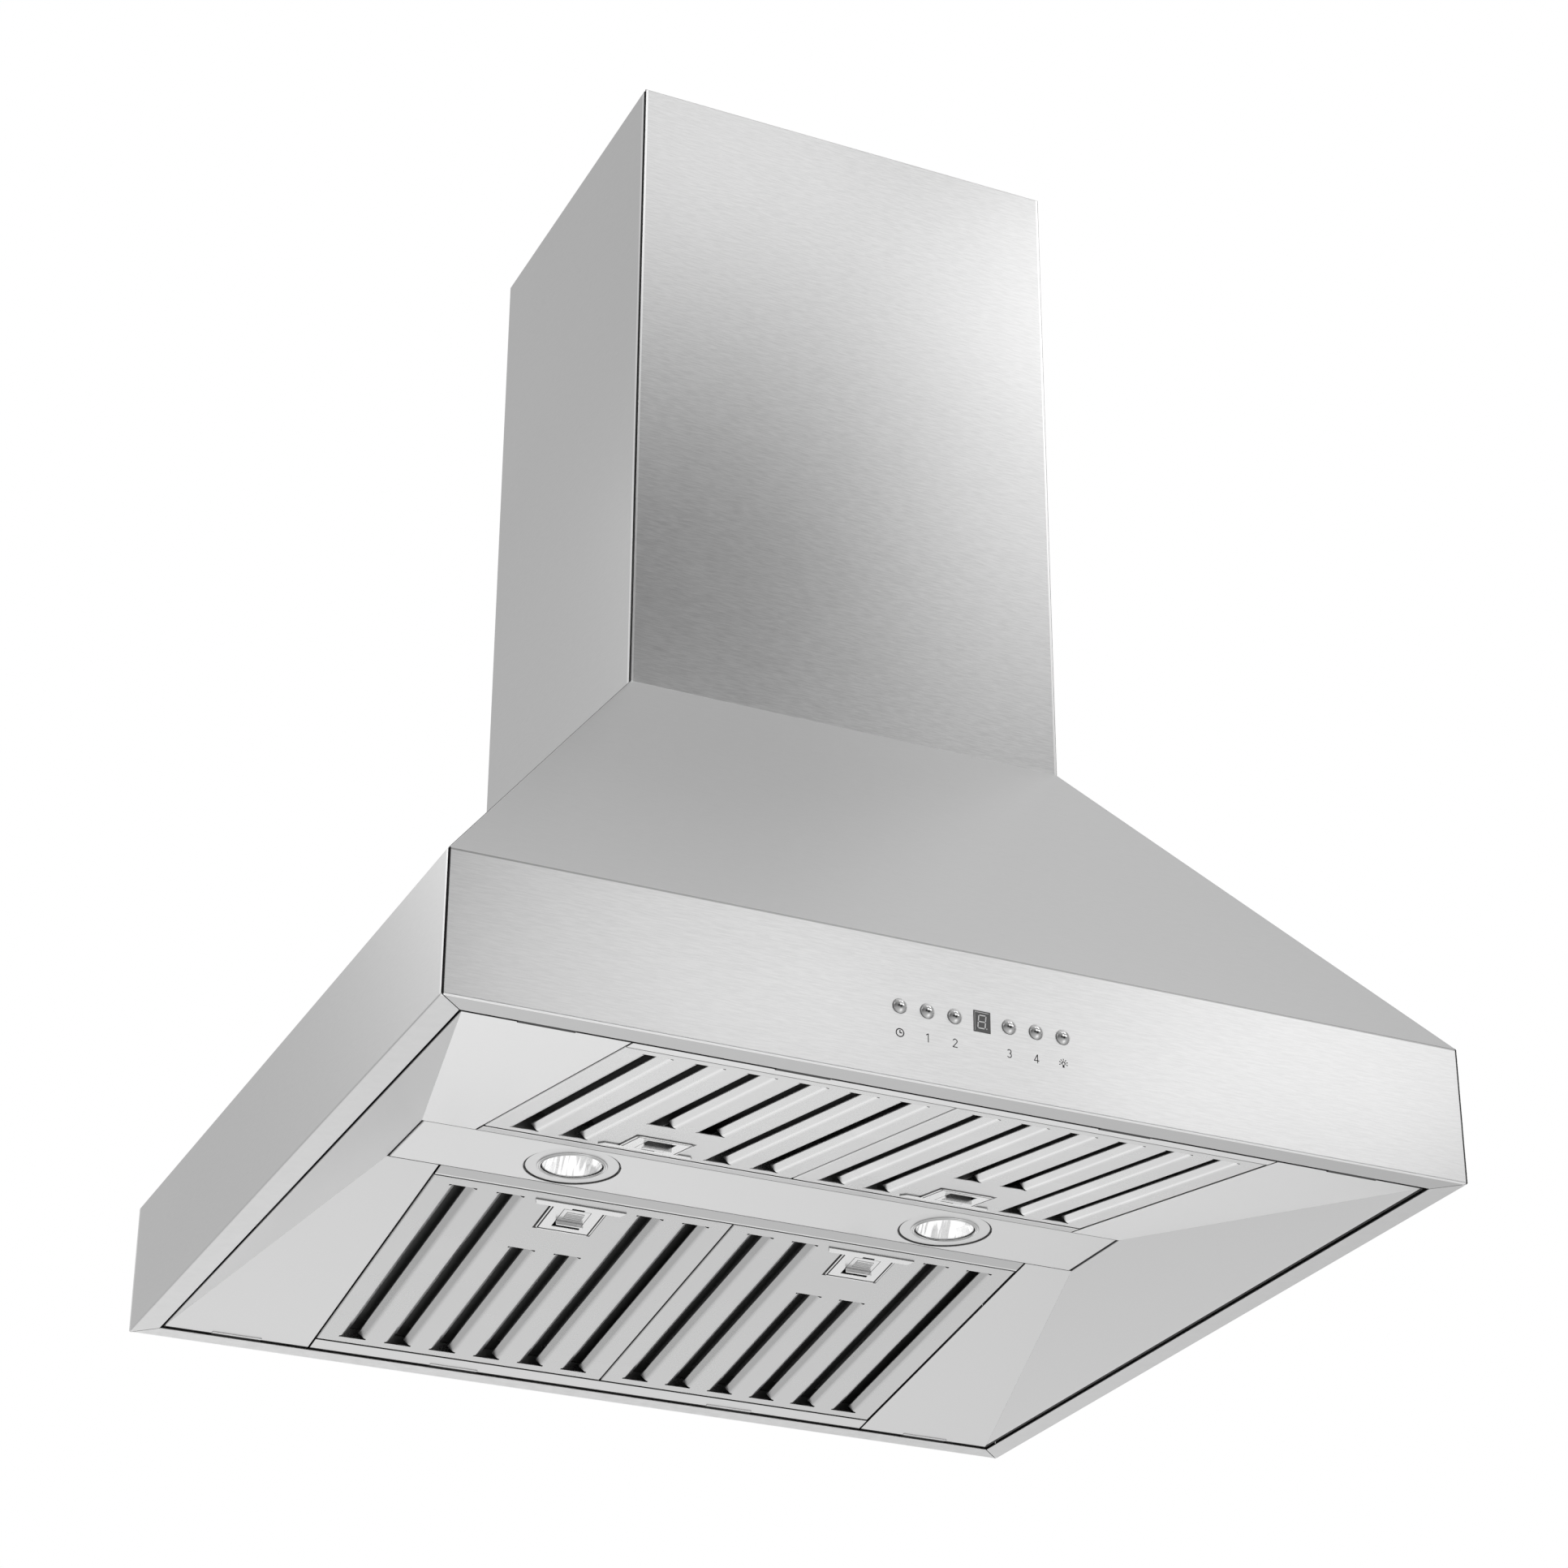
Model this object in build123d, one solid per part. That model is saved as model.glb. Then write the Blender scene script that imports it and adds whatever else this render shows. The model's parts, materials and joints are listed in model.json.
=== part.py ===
from build123d import *
from math import asin, atan2, cos, degrees, hypot, pi, radians, sin, sqrt, tan
import os

# Island range hood: a folded steel canopy with a pyramid top, a two-part telescoping chimney,
# four hinged baffle filters with spring latches, two twist-out lamps and a row of push buttons.
# Millimetres. The origin is the centre of the rim's underside, +Z is up and the controls face -Y.

# Canopy and chimney
canopy_width = 762.0
canopy_depth = 711.2
rim_height = 102.0
pyramid_top = 373.2
chimney_width = 355.6
chimney_depth = 304.8
chimney_top = 915.5
sheet = 1.2
bend_radius = 1.1
flange_width = 19.0
collar_height = 20.0
chimney_bend = 2.0
cover_gap = 0.6
cover_round = 0.5
return_width = 14.0
seam_gap = 0.5
fit_gap = 0.3
running_gap = 0.05

# How far cutting shapes run past what they cut
overrun = 5.0
outer_overrun = 0.2
inner_overrun = 1.1

# Flat sides in a full turn of the small and hidden round pieces
button_sides = 24
ring_sides = 56
hidden_sides = 24

# Hip-roofed liner and the light strip at its top
strip_length = 565.0
strip_width = 76.0
strip_height = 49.5
strip_wall = 18.0
strip_end_gap = 2.0
liner_sheet = 1.0
liner_gap = 2.5
liner_tab = 40.0
front_trim = 2.5
liner_seat = 10.0
liner_upturn = 10.0

# Baffle filters, measured along the slope of the liner
filter_width = 240.0
filter_gap = 0.9
bank_gap = 1.8
lower_rail = 16.3
upper_rail = 14.2
filter_depth = 14.0
filter_sheet = 0.9
filter_bend = 1.2
hook_spacing = 160.0
hook_width = 20.0
hook_reach = 6.0
slot_count = 6
slot_pitch = 37.4
slot_margin = 8.6
short_slot_margin = 83.0
slit_width = 22.0
slit_cut = 1.3
slot_gap = 9.0
flap_angle = 40.0
flap_bend = 4.0

# Filter latches
latch_margin = 8.2
latch_sheet = 1.0
wing_width = 73.0
wing_height = 6.0
latch_width = 44.0
latch_length = 41.0
latch_corner = 4.0
window_width = 22.0
window_length = 27.0
window_margin = 7.0
notch_width = 10.0
notch_depth = 2.0
pad_length = 18.0
lip_height = 3.5
lip_sheet = 1.2
ridge_count = 4
ridge_height = 0.4
ridge_length = 14.0
tongue_width = 16.0
tongue_sheet = 1.2
tongue_reach = 0.5

# Lamps
lamp_spacing = 305.0
lamp_hole_radius = 36.0
ring_gap = 0.9
ring_recess = 0.9
ring_sheet = 1.5
rim_radius = 26.0
lens_radius = 22.6
rim_drop = 1.6
neck_radius = 31.5
neck_height = 6.5
lug_size = 3.0
can_radius = 35.0
can_height = 50.0
can_plate = (96.0, 70.0)
bowl_bulge = (0.72, 0.55)
bulb_base_radius = 8.5
bulb_base_height = 12.0

# Controls on the front of the rim
control_height = 52.0
button_pitch = 20.4
button_radius = 5.1
button_clearance = 0.15
button_proud = 3.8
dome_height = 2.2
dome_steps = 3
button_travel = 1.5
button_head = 1.2
stem_radius = 2.2
display_width = 12.4
display_height = 15.2
display_sheet = 2.0
board_width = 160.0
board_height = 50.0
board_sheet = 1.6
standoff_length = 14.0
standoff_radius = 3.0
switch_size = 6.0
switch_height = 4.0

# Blower, duct and support frame
deck_height = 345.0
deck_sheet = 2.0
blower_radius = 108.0
blower_growth = 14.0
scroll_steps = 5
blower_width = 140.0
blower_sheet = 1.5
cutoff = 6.0
shaft_height = 210.0
inlet_radius = 80.0
wheel_radius = 92.0
wheel_width = 120.0
blade_count = 24
blade_depth = 15.0
blade_share = 0.9
blade_sheet = 1.2
blade_turn = 35.0
wheel_disc_x = 28.0
hub_radius = 14.0
hub_length = 36.0
hub_back = 9.0
shaft_radius = 5.0
motor_radius = 46.0
motor_gap = 2.4
motor_bore = 25.0
bracket_sheet = 3.0
bracket_rim = 9.0
duct_radius = 75.0
duct_height = 95.0
duct_sheet = 1.2
duct_flange = 20.0
damper_height = 20.0
damper_pin_radius = 1.5
damper_sheet = 1.0
knuckle_radius = 2.7
knuckle_length = 10.0
knuckle_places = (20.0, 35.0)
sleeve_gap = 0.5
strut_size = 25.0
strut_sheet = 2.5
strut_clearance = 1.5
plate_sheet = 3.0
plate_drop = 1.0
plate_opening = (200.0, 170.0)
bolt_spacing_x = 260.0
bolt_spacing_y = 210.0
bolt_hole_radius = 4.5
bolt_head_radius = 6.0
bolt_head_height = 4.0
transformer_size = (110.0, 46.0, 25.0)
junction_size = (70.0, 80.0, 40.0)
junction_gap = 12.0
edge_round = 2.0


# Small shape helpers

def block(x0, x1, y0, y1, z0, z1):
    """Box given by its lowest and highest corners."""
    return Pos((x0 + x1) / 2, (y0 + y1) / 2, (z0 + z1) / 2) * Box(x1 - x0, y1 - y0, z1 - z0)


def centred(width, depth, z0, z1):
    """Box centred on the Z axis between two heights."""
    return block(-width / 2, width / 2, -depth / 2, depth / 2, z0, z1)


def frustum(lower, upper, z0, z1):
    """Straight-sided solid between a lower and an upper rectangle: two wedges crossed."""
    wedges = []
    for near, far, plane in zip(lower, upper, (Plane.XZ, Plane.YZ)):
        outline = [(-near / 2, z0), (near / 2, z0), (far / 2, z1), (-far / 2, z1)]
        wedges.append(extrude(plane * Polygon(*outline, align=None), max(lower), both=True))
    return wedges[0] & wedges[1]


def prism(points, z0, z1):
    """Upright prism over a plan outline."""
    return extrude(Pos(0, 0, z0) * Polygon(*points, align=None), z1 - z0)


def rod(radius, z0, z1):
    """Upright round bar between two heights."""
    return Pos(0, 0, (z0 + z1) / 2) * Cylinder(radius, z1 - z0)


def drum(radius, z0, z1):
    """Upright bar with flat sides between two heights."""
    return extrude(Pos(0, 0, z0) * RegularPolygon(radius, hidden_sides), z1 - z0)


def turned(outline, sides):
    """Flat-sided solid of a closed (radius, height) outline turned about the Z axis."""
    turns = [2 * pi * index / sides for index in range(sides)]
    rings = [[(radius * cos(turn), radius * sin(turn), z) for turn in turns] for radius, z in outline]
    faces = []
    for low, high in zip(rings, rings[1:] + rings[:1]):
        for index in range(sides):
            corners = [low[index - 1], low[index], high[index], high[index - 1]]
            corners = list(dict.fromkeys(corners))
            if len(corners) > 2:
                faces.append(Face(Wire.make_polygon(corners)))
    return Solid(Shell(faces)).clean()


def along_x(shape, y, z):
    """Lay an upright round shape along +X at a height."""
    return Pos(0, y, z) * Rot(0, 90, 0) * shape


def tray(width, length, height, wall, bend):
    """Sheet pan with four upturned sides, its base on z = 0 and its lower end on y = 0."""
    pan = block(-width / 2, width / 2, 0, length, 0, height)
    pan = fillet(pan.edges().filter_by_position(Axis.Z, 0, 0), bend)
    return pan - block(-width / 2 + wall, width / 2 - wall, wall, length - wall, wall, height)


def sector(half, inner, z0, z1):
    """Prism over the front quarter of a hipped plan, between the two front corner lines.

    The corner lines run from the outer corner to the inner corner and on past both."""
    step_x = half[0] - inner[0]
    step_y = half[1] - inner[1]
    points = []
    for side, reach in ((-1, -outer_overrun), (1, -outer_overrun), (1, inner_overrun), (-1, inner_overrun)):
        points.append((side * (half[0] - seam_gap - reach * step_x), -half[1] + reach * step_y))
    return prism(points, z0, z1)


def slope_drop(run):
    """How far the inside of the rim's upper bend lies below its outside."""
    angle = atan2(pyramid_rise, run)
    return sheet * (1 - sin(angle)) / cos(angle)


# Shared places that follow from the sizes above

half_width = canopy_width / 2
half_depth = canopy_depth / 2
chimney_half = (chimney_width / 2, chimney_depth / 2)
collar_half = tuple(side - sheet - fit_gap for side in chimney_half)
pyramid_rise = pyramid_top - rim_height

lip_half = (half_width - flange_width, half_depth - flange_width)
liner_half = tuple(side - liner_gap for side in lip_half)
strip_half = (strip_length / 2, strip_width / 2)
liner_rise = strip_height - sheet
liner_run = liner_half[1] - strip_half[1]
slope_length = hypot(liner_run, liner_rise)
slope_angle = degrees(atan2(liner_rise, liner_run))
opening_length = slope_length - lower_rail - upper_rail
filter_length = opening_length - fit_gap - filter_gap
rail_half = filter_width + filter_gap / 2
bank_half = rail_half + bank_gap
filter_offset = (filter_width + filter_gap) / 2
front_slope = Pos(0, -liner_half[1], sheet) * Rot(slope_angle, 0, 0)

button_places = [step * button_pitch for step in (-3, -2, -1, 1, 2, 3)]
button_names = ["timer", "speed_1", "speed_2", "speed_3", "speed_4", "light"]
front_inside = -half_depth + sheet
board_front = front_inside + standoff_length
lamp_places = {"left": -lamp_spacing / 2, "right": lamp_spacing / 2}
strip_top = strip_height + sheet


# Canopy: four folded panels mitred at the corners

def folded_panel(along, out, lip, top, collar):
    """One sheet in the front position: bottom flange, rim, pyramid slope, chimney seat and collar.

    along and out are the half sizes of the canopy across and towards the panel; lip, top and collar
    are the distances of the flange edge, the slope's top and the collar from the middle."""
    drop = slope_drop(out - top)
    seat_under = pyramid_top - sheet
    slope_end = top - sheet + (sheet - drop) * (out - top) / pyramid_rise
    outline = [(-lip, 0), (-out, 0), (-out, rim_height), (-top, pyramid_top), (-collar, pyramid_top),
               (-collar, pyramid_top + collar_height), (-collar + sheet, pyramid_top + collar_height),
               (-collar + sheet, seat_under), (-slope_end, seat_under), (-out + sheet, rim_height - drop),
               (-out + sheet, sheet), (-lip, sheet)]
    section = Pos(-along, 0, 0) * (Plane.YZ * Polygon(*outline, align=None))
    folded = extrude(section, 2 * along, dir=(1, 0, 0))
    bends = [edge for edge in folded.edges().filter_by(Axis.X) if abs(edge.center().Y + out) < seam_gap]
    return fillet(bends, bend_radius)


def canopy_panels():
    """The four panels, each cut to its mitred rim and hipped slope; the front one takes the controls."""
    places = {"front_panel": 0, "right_panel": 90, "rear_panel": 180, "left_panel": -90}
    panels = {}
    for label, turn in places.items():
        order = (0, 1) if turn in (0, 180) else (1, 0)
        along, out = [(half_width, half_depth)[index] for index in order]
        inner = [chimney_half[index] for index in order]
        sheet_piece = folded_panel(along, out, out - flange_width, inner[1], collar_half[order[1]])
        mitre = (along - flange_width, out - flange_width)
        rim = sheet_piece & sector((along, out), mitre, -overrun, rim_height)
        slope = sheet_piece & sector((along, out), inner, rim_height, pyramid_top + collar_height + overrun)
        panels[label] = Rot(0, 0, turn) * (rim + slope)
    front = panels["front_panel"]
    for x in button_places:
        hole = extrude(RegularPolygon(button_radius + button_clearance, button_sides), overrun, both=True)
        front -= Pos(x, -half_depth, control_height) * Rot(90, 0, 0) * hole
    window = Box(display_width + 2 * button_clearance, 2 * overrun, display_height + 2 * button_clearance)
    panels["front_panel"] = front - Pos(0, -half_depth, control_height) * window
    return panels


# Liner: three sheets at each side, meeting at the hips, and the rails that frame each pair of filters

def hip_cut(side_x, side_y, top):
    """Thin upright wall over one hip, where two sheets of the liner meet."""
    step_x, step_y = [side * (outer - inner) for side, outer, inner
                      in zip((side_x, side_y), liner_half, strip_half)]
    middle = [side * (outer + inner) / 2 for side, outer, inner in zip((side_x, side_y), liner_half, strip_half)]
    wall = Box(hypot(step_x, step_y) + 2 * overrun, running_gap, 2 * top)
    return Pos(*middle, 0) * Rot(0, 0, degrees(atan2(step_y, step_x))) * wall


def liner_panels():
    """The sheets stop short of the canopy's flange and lie on it by tabs along the front and the rear."""
    low = [2 * side for side in liner_half]
    top = (strip_length, strip_width)
    under = frustum(low, top, sheet, strip_height)
    skin = Pos(0, 0, liner_sheet) * under + centred(*low, sheet, sheet + liner_sheet) - under
    upturn_top = strip_height + liner_sheet + liner_upturn
    skin += centred(top[0] + 2 * liner_sheet, top[1] + 2 * liner_sheet, strip_height, upturn_top)
    skin -= centred(*top, 0, upturn_top + overrun)
    skin -= block(-half_width, half_width, -half_depth, -liner_half[1] + front_trim, 0, upturn_top)
    for side_x in (-1, 1):
        for side_y in (-1, 1):
            skin -= hip_cut(side_x, side_y, upturn_top)
    side_tab = (bank_half + liner_half[0]) / 2
    tab_length = 2 * (lip_half[1] + liner_seat)
    tab_root = low[1] - 2 * (front_trim + liner_sheet)
    for x in (-side_tab, -filter_offset, filter_offset, side_tab):
        tab = centred(liner_tab, tab_length, sheet, sheet + liner_sheet)
        skin += Pos(x, 0, 0) * (tab - centred(low[0], tab_root, 0, strip_height))
    bank = block(-bank_half, bank_half, lower_rail, lower_rail + opening_length, -overrun, overrun)
    for turn in (0, 180):
        skin -= Rot(0, 0, turn) * front_slope * bank
    regions = {
        "front": block(-rail_half, rail_half, -half_depth, 0, 0, upturn_top),
        "right": block(bank_half, half_width, -half_depth, half_depth, 0, upturn_top),
        "rear": block(-rail_half, rail_half, 0, half_depth, 0, upturn_top),
        "left": block(-half_width, -bank_half, -half_depth, half_depth, 0, upturn_top),
    }
    return {"liner_" + side: skin & region for side, region in regions.items()}


def light_strip():
    width = strip_width - 2 * fit_gap
    length = strip_length - 2 * strip_end_gap
    panel = Rot(0, 0, 90) * Pos(0, -length / 2, 0) * tray(width, length, strip_wall, sheet, bend_radius)
    panel = Pos(0, 0, strip_height) * panel
    for x in lamp_places.values():
        panel -= Pos(x, 0, strip_height) * Cylinder(lamp_hole_radius, 2 * overrun)
    return panel


# Baffle filters, drawn flat with the hinge edge on y = 0 and the outer face on z = 0

def flap_profile():
    """Half of a slot's section: the sheet bends inwards by two steps, then runs on to the slot's edge."""
    half = slit_width / 2
    turn = radians(flap_angle)
    sides = []
    for lift in (0, filter_sheet):
        start = (half, lift)
        middle = (half - flap_bend * sin(turn / 2), lift + flap_bend * (1 - cos(turn / 2)))
        bend_end = (half - flap_bend * sin(turn), lift + flap_bend * (1 - cos(turn)))
        tip = (slot_gap / 2, bend_end[1] + (bend_end[0] - slot_gap / 2) * tan(turn))
        sides.append((start, middle, bend_end, tip))
    return Polygon(*sides[0], *reversed(sides[1]), align=None)


def slotted(plate, slots):
    """Cut each (x, low y, high y) slot through a plate and add its two curled flaps."""
    half = slit_width / 2
    for x, low, high in slots:
        plate -= block(x - half, x + half, low, high, -overrun, overrun)
    section = Plane(origin=(0, 0, 0), x_dir=(1, 0, 0), z_dir=(0, -1, 0)) * flap_profile()
    flaps = []
    for x, low, high in slots:
        flap = Pos(0, low + slit_cut, 0) * extrude(section, high - low - 2 * slit_cut, dir=(0, 1, 0))
        flaps += [Pos(x, 0, 0) * flap, Pos(x, 0, 0) * mirror(flap, about=Plane.YZ)]
    return plate.fuse(*flaps)


def slot_list(count, margin):
    """Slots spread about the filter's centre line; the middle pair of an even count is short."""
    slots = []
    for index in range(count):
        place = index - (count - 1) / 2
        short = count % 2 == 0 and abs(place) < 1
        top = filter_length - (short_slot_margin if short else margin)
        slots.append((place * slot_pitch, margin, top))
    return slots


latch_top = filter_length - latch_margin
window_top = latch_top - window_margin
window_bottom = window_top - window_length


def filter_front():
    """Slotted pan with a window for the latch and two hooks that lie on the liner's lower rail."""
    plate = tray(filter_width, filter_length, filter_depth, filter_sheet, filter_bend)
    plate = slotted(plate, slot_list(slot_count, slot_margin))
    plate -= block(-window_width / 2, window_width / 2, window_bottom, window_top, -overrun, overrun)
    tongue_half = tongue_width / 2 + fit_gap
    plate -= block(-tongue_half, tongue_half, filter_length - overrun, filter_length + overrun,
                   filter_sheet, filter_sheet + tongue_sheet + 2 * fit_gap)
    hook_low = liner_sheet + fit_gap
    for x in (-hook_spacing / 2, hook_spacing / 2):
        plate += block(x - hook_width / 2, x + hook_width / 2, -hook_reach, filter_sheet,
                       hook_low, hook_low + filter_sheet)
    return plate


def filter_back():
    inset = filter_sheet + fit_gap
    half = filter_width / 2 - inset
    plate = block(-half, half, inset, filter_length - inset, 0, filter_sheet)
    plate = slotted(plate, slot_list(slot_count - 1, 2 * slot_margin))
    return Pos(0, 0, filter_depth) * Rot(0, 180, 0) * plate


def latch_plate():
    wing_half = wing_width / 2
    half = latch_width / 2
    low = latch_top - latch_length
    shoulder = latch_top - wing_height
    wing_foot = wing_half - wing_height / 2
    outline = [(-wing_half, latch_top), (-wing_foot, shoulder), (-half, shoulder), (-half, low),
               (half, low), (half, shoulder), (wing_foot, shoulder), (wing_half, latch_top)]
    plate = prism(outline, -latch_sheet, 0)
    corners = plate.edges().filter_by(Axis.Z).filter_by_position(Axis.Y, low, low)
    plate = fillet(corners, latch_corner)
    plate -= block(-window_width / 2, window_width / 2, window_bottom, window_top, -overrun, overrun)
    notch_top = window_top + notch_depth
    plate -= block(-notch_width / 2, notch_width / 2, window_top, notch_top, -overrun, overrun)
    return plate


def latch_slider():
    half = window_width / 2 - fit_gap
    pad_top = window_top - fit_gap
    pad_low = pad_top - pad_length
    guide = filter_sheet + fit_gap
    slider = block(-half, half, pad_low, pad_top, -latch_sheet, guide + tongue_sheet)
    slider += block(-half, half, pad_low, pad_low + lip_sheet, -latch_sheet - lip_height, -latch_sheet)
    ridge_pitch = pad_length / (ridge_count + 3)
    for index in range(ridge_count):
        low = pad_low + (index + 2) * ridge_pitch
        slider += block(-ridge_length / 2, ridge_length / 2, low, low + ridge_pitch / 2,
                        -latch_sheet - ridge_height, -latch_sheet)
    tongue_half = tongue_width / 2
    tongue_end = filter_length + tongue_reach
    slider += block(-tongue_half, tongue_half, pad_low, tongue_end, guide, guide + tongue_sheet)
    return slider


def filter_sets():
    makers = {"filter": filter_front, "filter_back": filter_back, "latch_plate": latch_plate,
              "latch_slider": latch_slider}
    flat = {name: make() for name, make in makers.items()}
    sets = {}
    for bank, turn in (("front", 0), ("rear", 180)):
        for hand, side in (("left", -1), ("right", 1)):
            across = side if bank == "front" else -side
            place = Rot(0, 0, turn) * front_slope * Pos(across * filter_offset, lower_rail + fit_gap, 0)
            for name, shape in flat.items():
                sets[f"{name}_{bank}_{hand}"] = place * shape
    return sets


# Lamps set into the strip

def lamp_ring(x):
    low = strip_height + ring_recess
    top = low + ring_sheet
    inner = lens_radius + fit_gap
    outer = lamp_hole_radius - ring_gap
    crown_inset = (rim_radius - inner) / 4
    crown = low - rim_drop
    neck_inner = neck_radius - ring_sheet
    neck_top = top + neck_height
    outline = [(inner, low), (inner, top), (neck_inner, top), (neck_inner, neck_top),
               (neck_radius, neck_top), (neck_radius, top), (outer, top), (outer, low),
               (rim_radius, low), (rim_radius - crown_inset, crown), (inner + crown_inset, crown)]
    ring = turned(outline, ring_sides)
    lug_z = neck_top - lug_size / 2
    for side in (-1, 1):
        ring += Pos(side * neck_radius, 0, lug_z) * Box(lug_size, lug_size, lug_size)
    return Pos(x, 0, 0) * ring


def lamp_can(x):
    """Round can on a seat plate that is stepped over the twist ring."""
    step = strip_height + ring_recess + ring_sheet + fit_gap
    top = strip_top + can_height
    can = centred(*can_plate, strip_top, step + sheet) - drum(lamp_hole_radius, strip_height, step)
    can += drum(can_radius, step, top + sheet)
    return Pos(x, 0, 0) * (can - drum(can_radius - sheet, strip_height, top))


def lamp_bulb(x):
    low = strip_height + ring_recess
    top = strip_top + can_height
    shoulder = top - bulb_base_height
    bowl_middle = (bowl_bulge[0] * lens_radius, low + bowl_bulge[1] * (shoulder - low))
    outline = [(0, low), (lens_radius, low), (lens_radius, low + ring_sheet), bowl_middle,
               (bulb_base_radius, shoulder), (bulb_base_radius, top), (0, top)]
    return Pos(x, 0, 0) * turned(outline, hidden_sides)


# Controls

def push_button(x):
    """Domed cap with a hidden head behind the panel and a stem towards its switch."""
    ball_radius = (button_radius ** 2 + dome_height ** 2) / (2 * dome_height)
    dome_turn = asin(button_radius / ball_radius)
    reach = board_front - switch_height - button_travel - fit_gap + half_depth
    head_radius = button_radius + button_head
    head_back = -sheet - button_head
    outline = [(0, -reach), (stem_radius, -reach), (stem_radius, head_back), (head_radius, head_back),
               (head_radius, -sheet), (button_radius, -sheet)]
    for step in range(dome_steps):
        turn = dome_turn * (1 - step / dome_steps)
        outline.append((ball_radius * sin(turn), button_proud - ball_radius * (1 - cos(turn))))
    outline.append((0, button_proud))
    cap = turned(outline, button_sides)
    return Pos(x, -half_depth, control_height) * Rot(90, 0, 0) * cap


def board_pieces():
    board_back = board_front + board_sheet
    low = control_height - board_height / 2
    high = control_height + board_height / 2
    board = block(-board_width / 2, board_width / 2, board_front, board_back, low, high)
    inset = 2 * standoff_radius
    posts = []
    for x in (-board_width / 2 + inset, board_width / 2 - inset):
        for z in (low + inset, high - inset):
            post = extrude(RegularPolygon(standoff_radius, 6), standoff_length)
            posts.append(Pos(x, board_front, z) * Rot(90, 0, 0) * post)
    switches = []
    for x in button_places:
        body = Box(switch_size, switch_height, switch_size)
        switches.append(Pos(x, board_front - switch_height / 2, control_height) * body)
    window_back = -half_depth + display_sheet
    across = (-display_width / 2, display_width / 2)
    upright = (control_height - display_height / 2, control_height + display_height / 2)
    window = block(*across, -half_depth, window_back, *upright)
    module = block(*across, window_back, board_front, *upright)
    return {"control_board": board, "board_standoffs": Compound(posts), "push_switches": Compound(switches),
            "display_window": window, "display_module": module}


# Blower hung under the deck, with its motor, wheel and duct collar

blower_y = -(blower_radius + 3 * blower_growth) / 2
motor_back = -blower_width / 2
motor_front = wheel_disc_x - hub_back - motor_gap


def scroll(inset, neck_top):
    """Spiral case outline in the YZ plane: three growing quarter turns in flat steps and a straight neck."""
    centre_y = blower_y
    centre_z = shaft_height
    radius = blower_radius - inset
    start = (centre_y, centre_z + radius)
    points = [start]
    for quarter in range(3):
        for step in range(scroll_steps):
            turn = pi / 2 * (quarter + 1 + (step + 1) / scroll_steps)
            points.append((centre_y + radius * cos(turn), centre_z + radius * sin(turn)))
        centre_y -= blower_growth * cos(turn)
        centre_z -= blower_growth * sin(turn)
        radius += blower_growth
    tongue_y = start[0] + cutoff + inset
    points += [(points[-1][0], neck_top), (tongue_y, neck_top), (tongue_y, start[1])]
    return Plane.YZ * Polygon(*points, align=None)


def blower_housing():
    half = blower_width / 2
    case = Pos(-half, 0, 0) * extrude(scroll(0, deck_height), blower_width, dir=(1, 0, 0))
    inner_width = blower_width - 2 * blower_sheet
    inside = extrude(scroll(blower_sheet, deck_height + overrun), inner_width, dir=(1, 0, 0))
    case -= Pos(-half + blower_sheet, 0, 0) * inside
    return case - along_x(drum(inlet_radius, -blower_width, blower_width), blower_y, shaft_height)


def fan_wheel():
    half = wheel_width / 2
    blade_radius = wheel_radius - blade_depth / 2
    wheel = drum(wheel_radius, wheel_disc_x - blade_sheet, wheel_disc_x + blade_sheet)
    wheel += drum(hub_radius, wheel_disc_x - hub_back, wheel_disc_x - hub_back + hub_length)
    wheel += drum(shaft_radius, motor_front - motor_bore + fit_gap, wheel_disc_x)
    for end in (-half, half - 2 * blade_sheet):
        span = (end, end + 2 * blade_sheet)
        wheel += drum(wheel_radius, *span) - drum(wheel_radius - blade_depth, *span)
    blade = Rot(0, 0, blade_turn) * Box(blade_share * blade_depth, blade_sheet, wheel_width)
    blade = Pos(blade_radius, 0, 0) * blade
    blades = [Rot(0, 0, 360 * index / blade_count) * blade for index in range(blade_count)]
    return along_x(wheel.fuse(*blades), blower_y, shaft_height)


def motor():
    """Bevelled case with a blind bore for the wheel's shaft."""
    end_radius = motor_radius - edge_round
    bore_radius = shaft_radius + running_gap
    bore_end = motor_front - motor_bore
    outline = [(0, motor_back), (end_radius, motor_back), (motor_radius, motor_back + edge_round),
               (motor_radius, motor_front - edge_round), (end_radius, motor_front), (bore_radius, motor_front),
               (bore_radius, bore_end), (0, bore_end)]
    return along_x(turned(outline, hidden_sides), blower_y, shaft_height)


def motor_bracket():
    """Flat spider across the left inlet: a rim on the case, three arms and the motor's seat."""
    back = motor_back - bracket_sheet
    spider = drum(inlet_radius + bracket_rim, back, motor_back) - drum(inlet_radius, back, motor_back)
    spider += drum(motor_radius, back, motor_back)
    for index in range(3):
        arm = block(0, inlet_radius + bracket_rim / 2, -bracket_rim, bracket_rim, back, motor_back)
        spider += Rot(0, 0, 120 * index) * arm
    return along_x(spider, blower_y, shaft_height)


def inner_half(z):
    """Half width and half depth of the pyramid's inside at a height."""
    halves = []
    for outer, inner in ((half_width, chimney_half[0]), (half_depth, chimney_half[1])):
        share = (z - rim_height + slope_drop(outer - inner)) / pyramid_rise
        halves.append(outer - sheet - share * (outer - inner))
    return halves


def blower_deck():
    top = deck_height + deck_sheet
    half = [side - fit_gap for side in inner_half(top)]
    deck = centred(2 * half[0], 2 * half[1], deck_height, top)
    outlet = blower_width - 2 * blower_sheet
    return deck - centred(outlet, outlet, deck_height - overrun, top + overrun)


duct_low = deck_height + deck_sheet
damper_z = duct_low + damper_height


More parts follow.
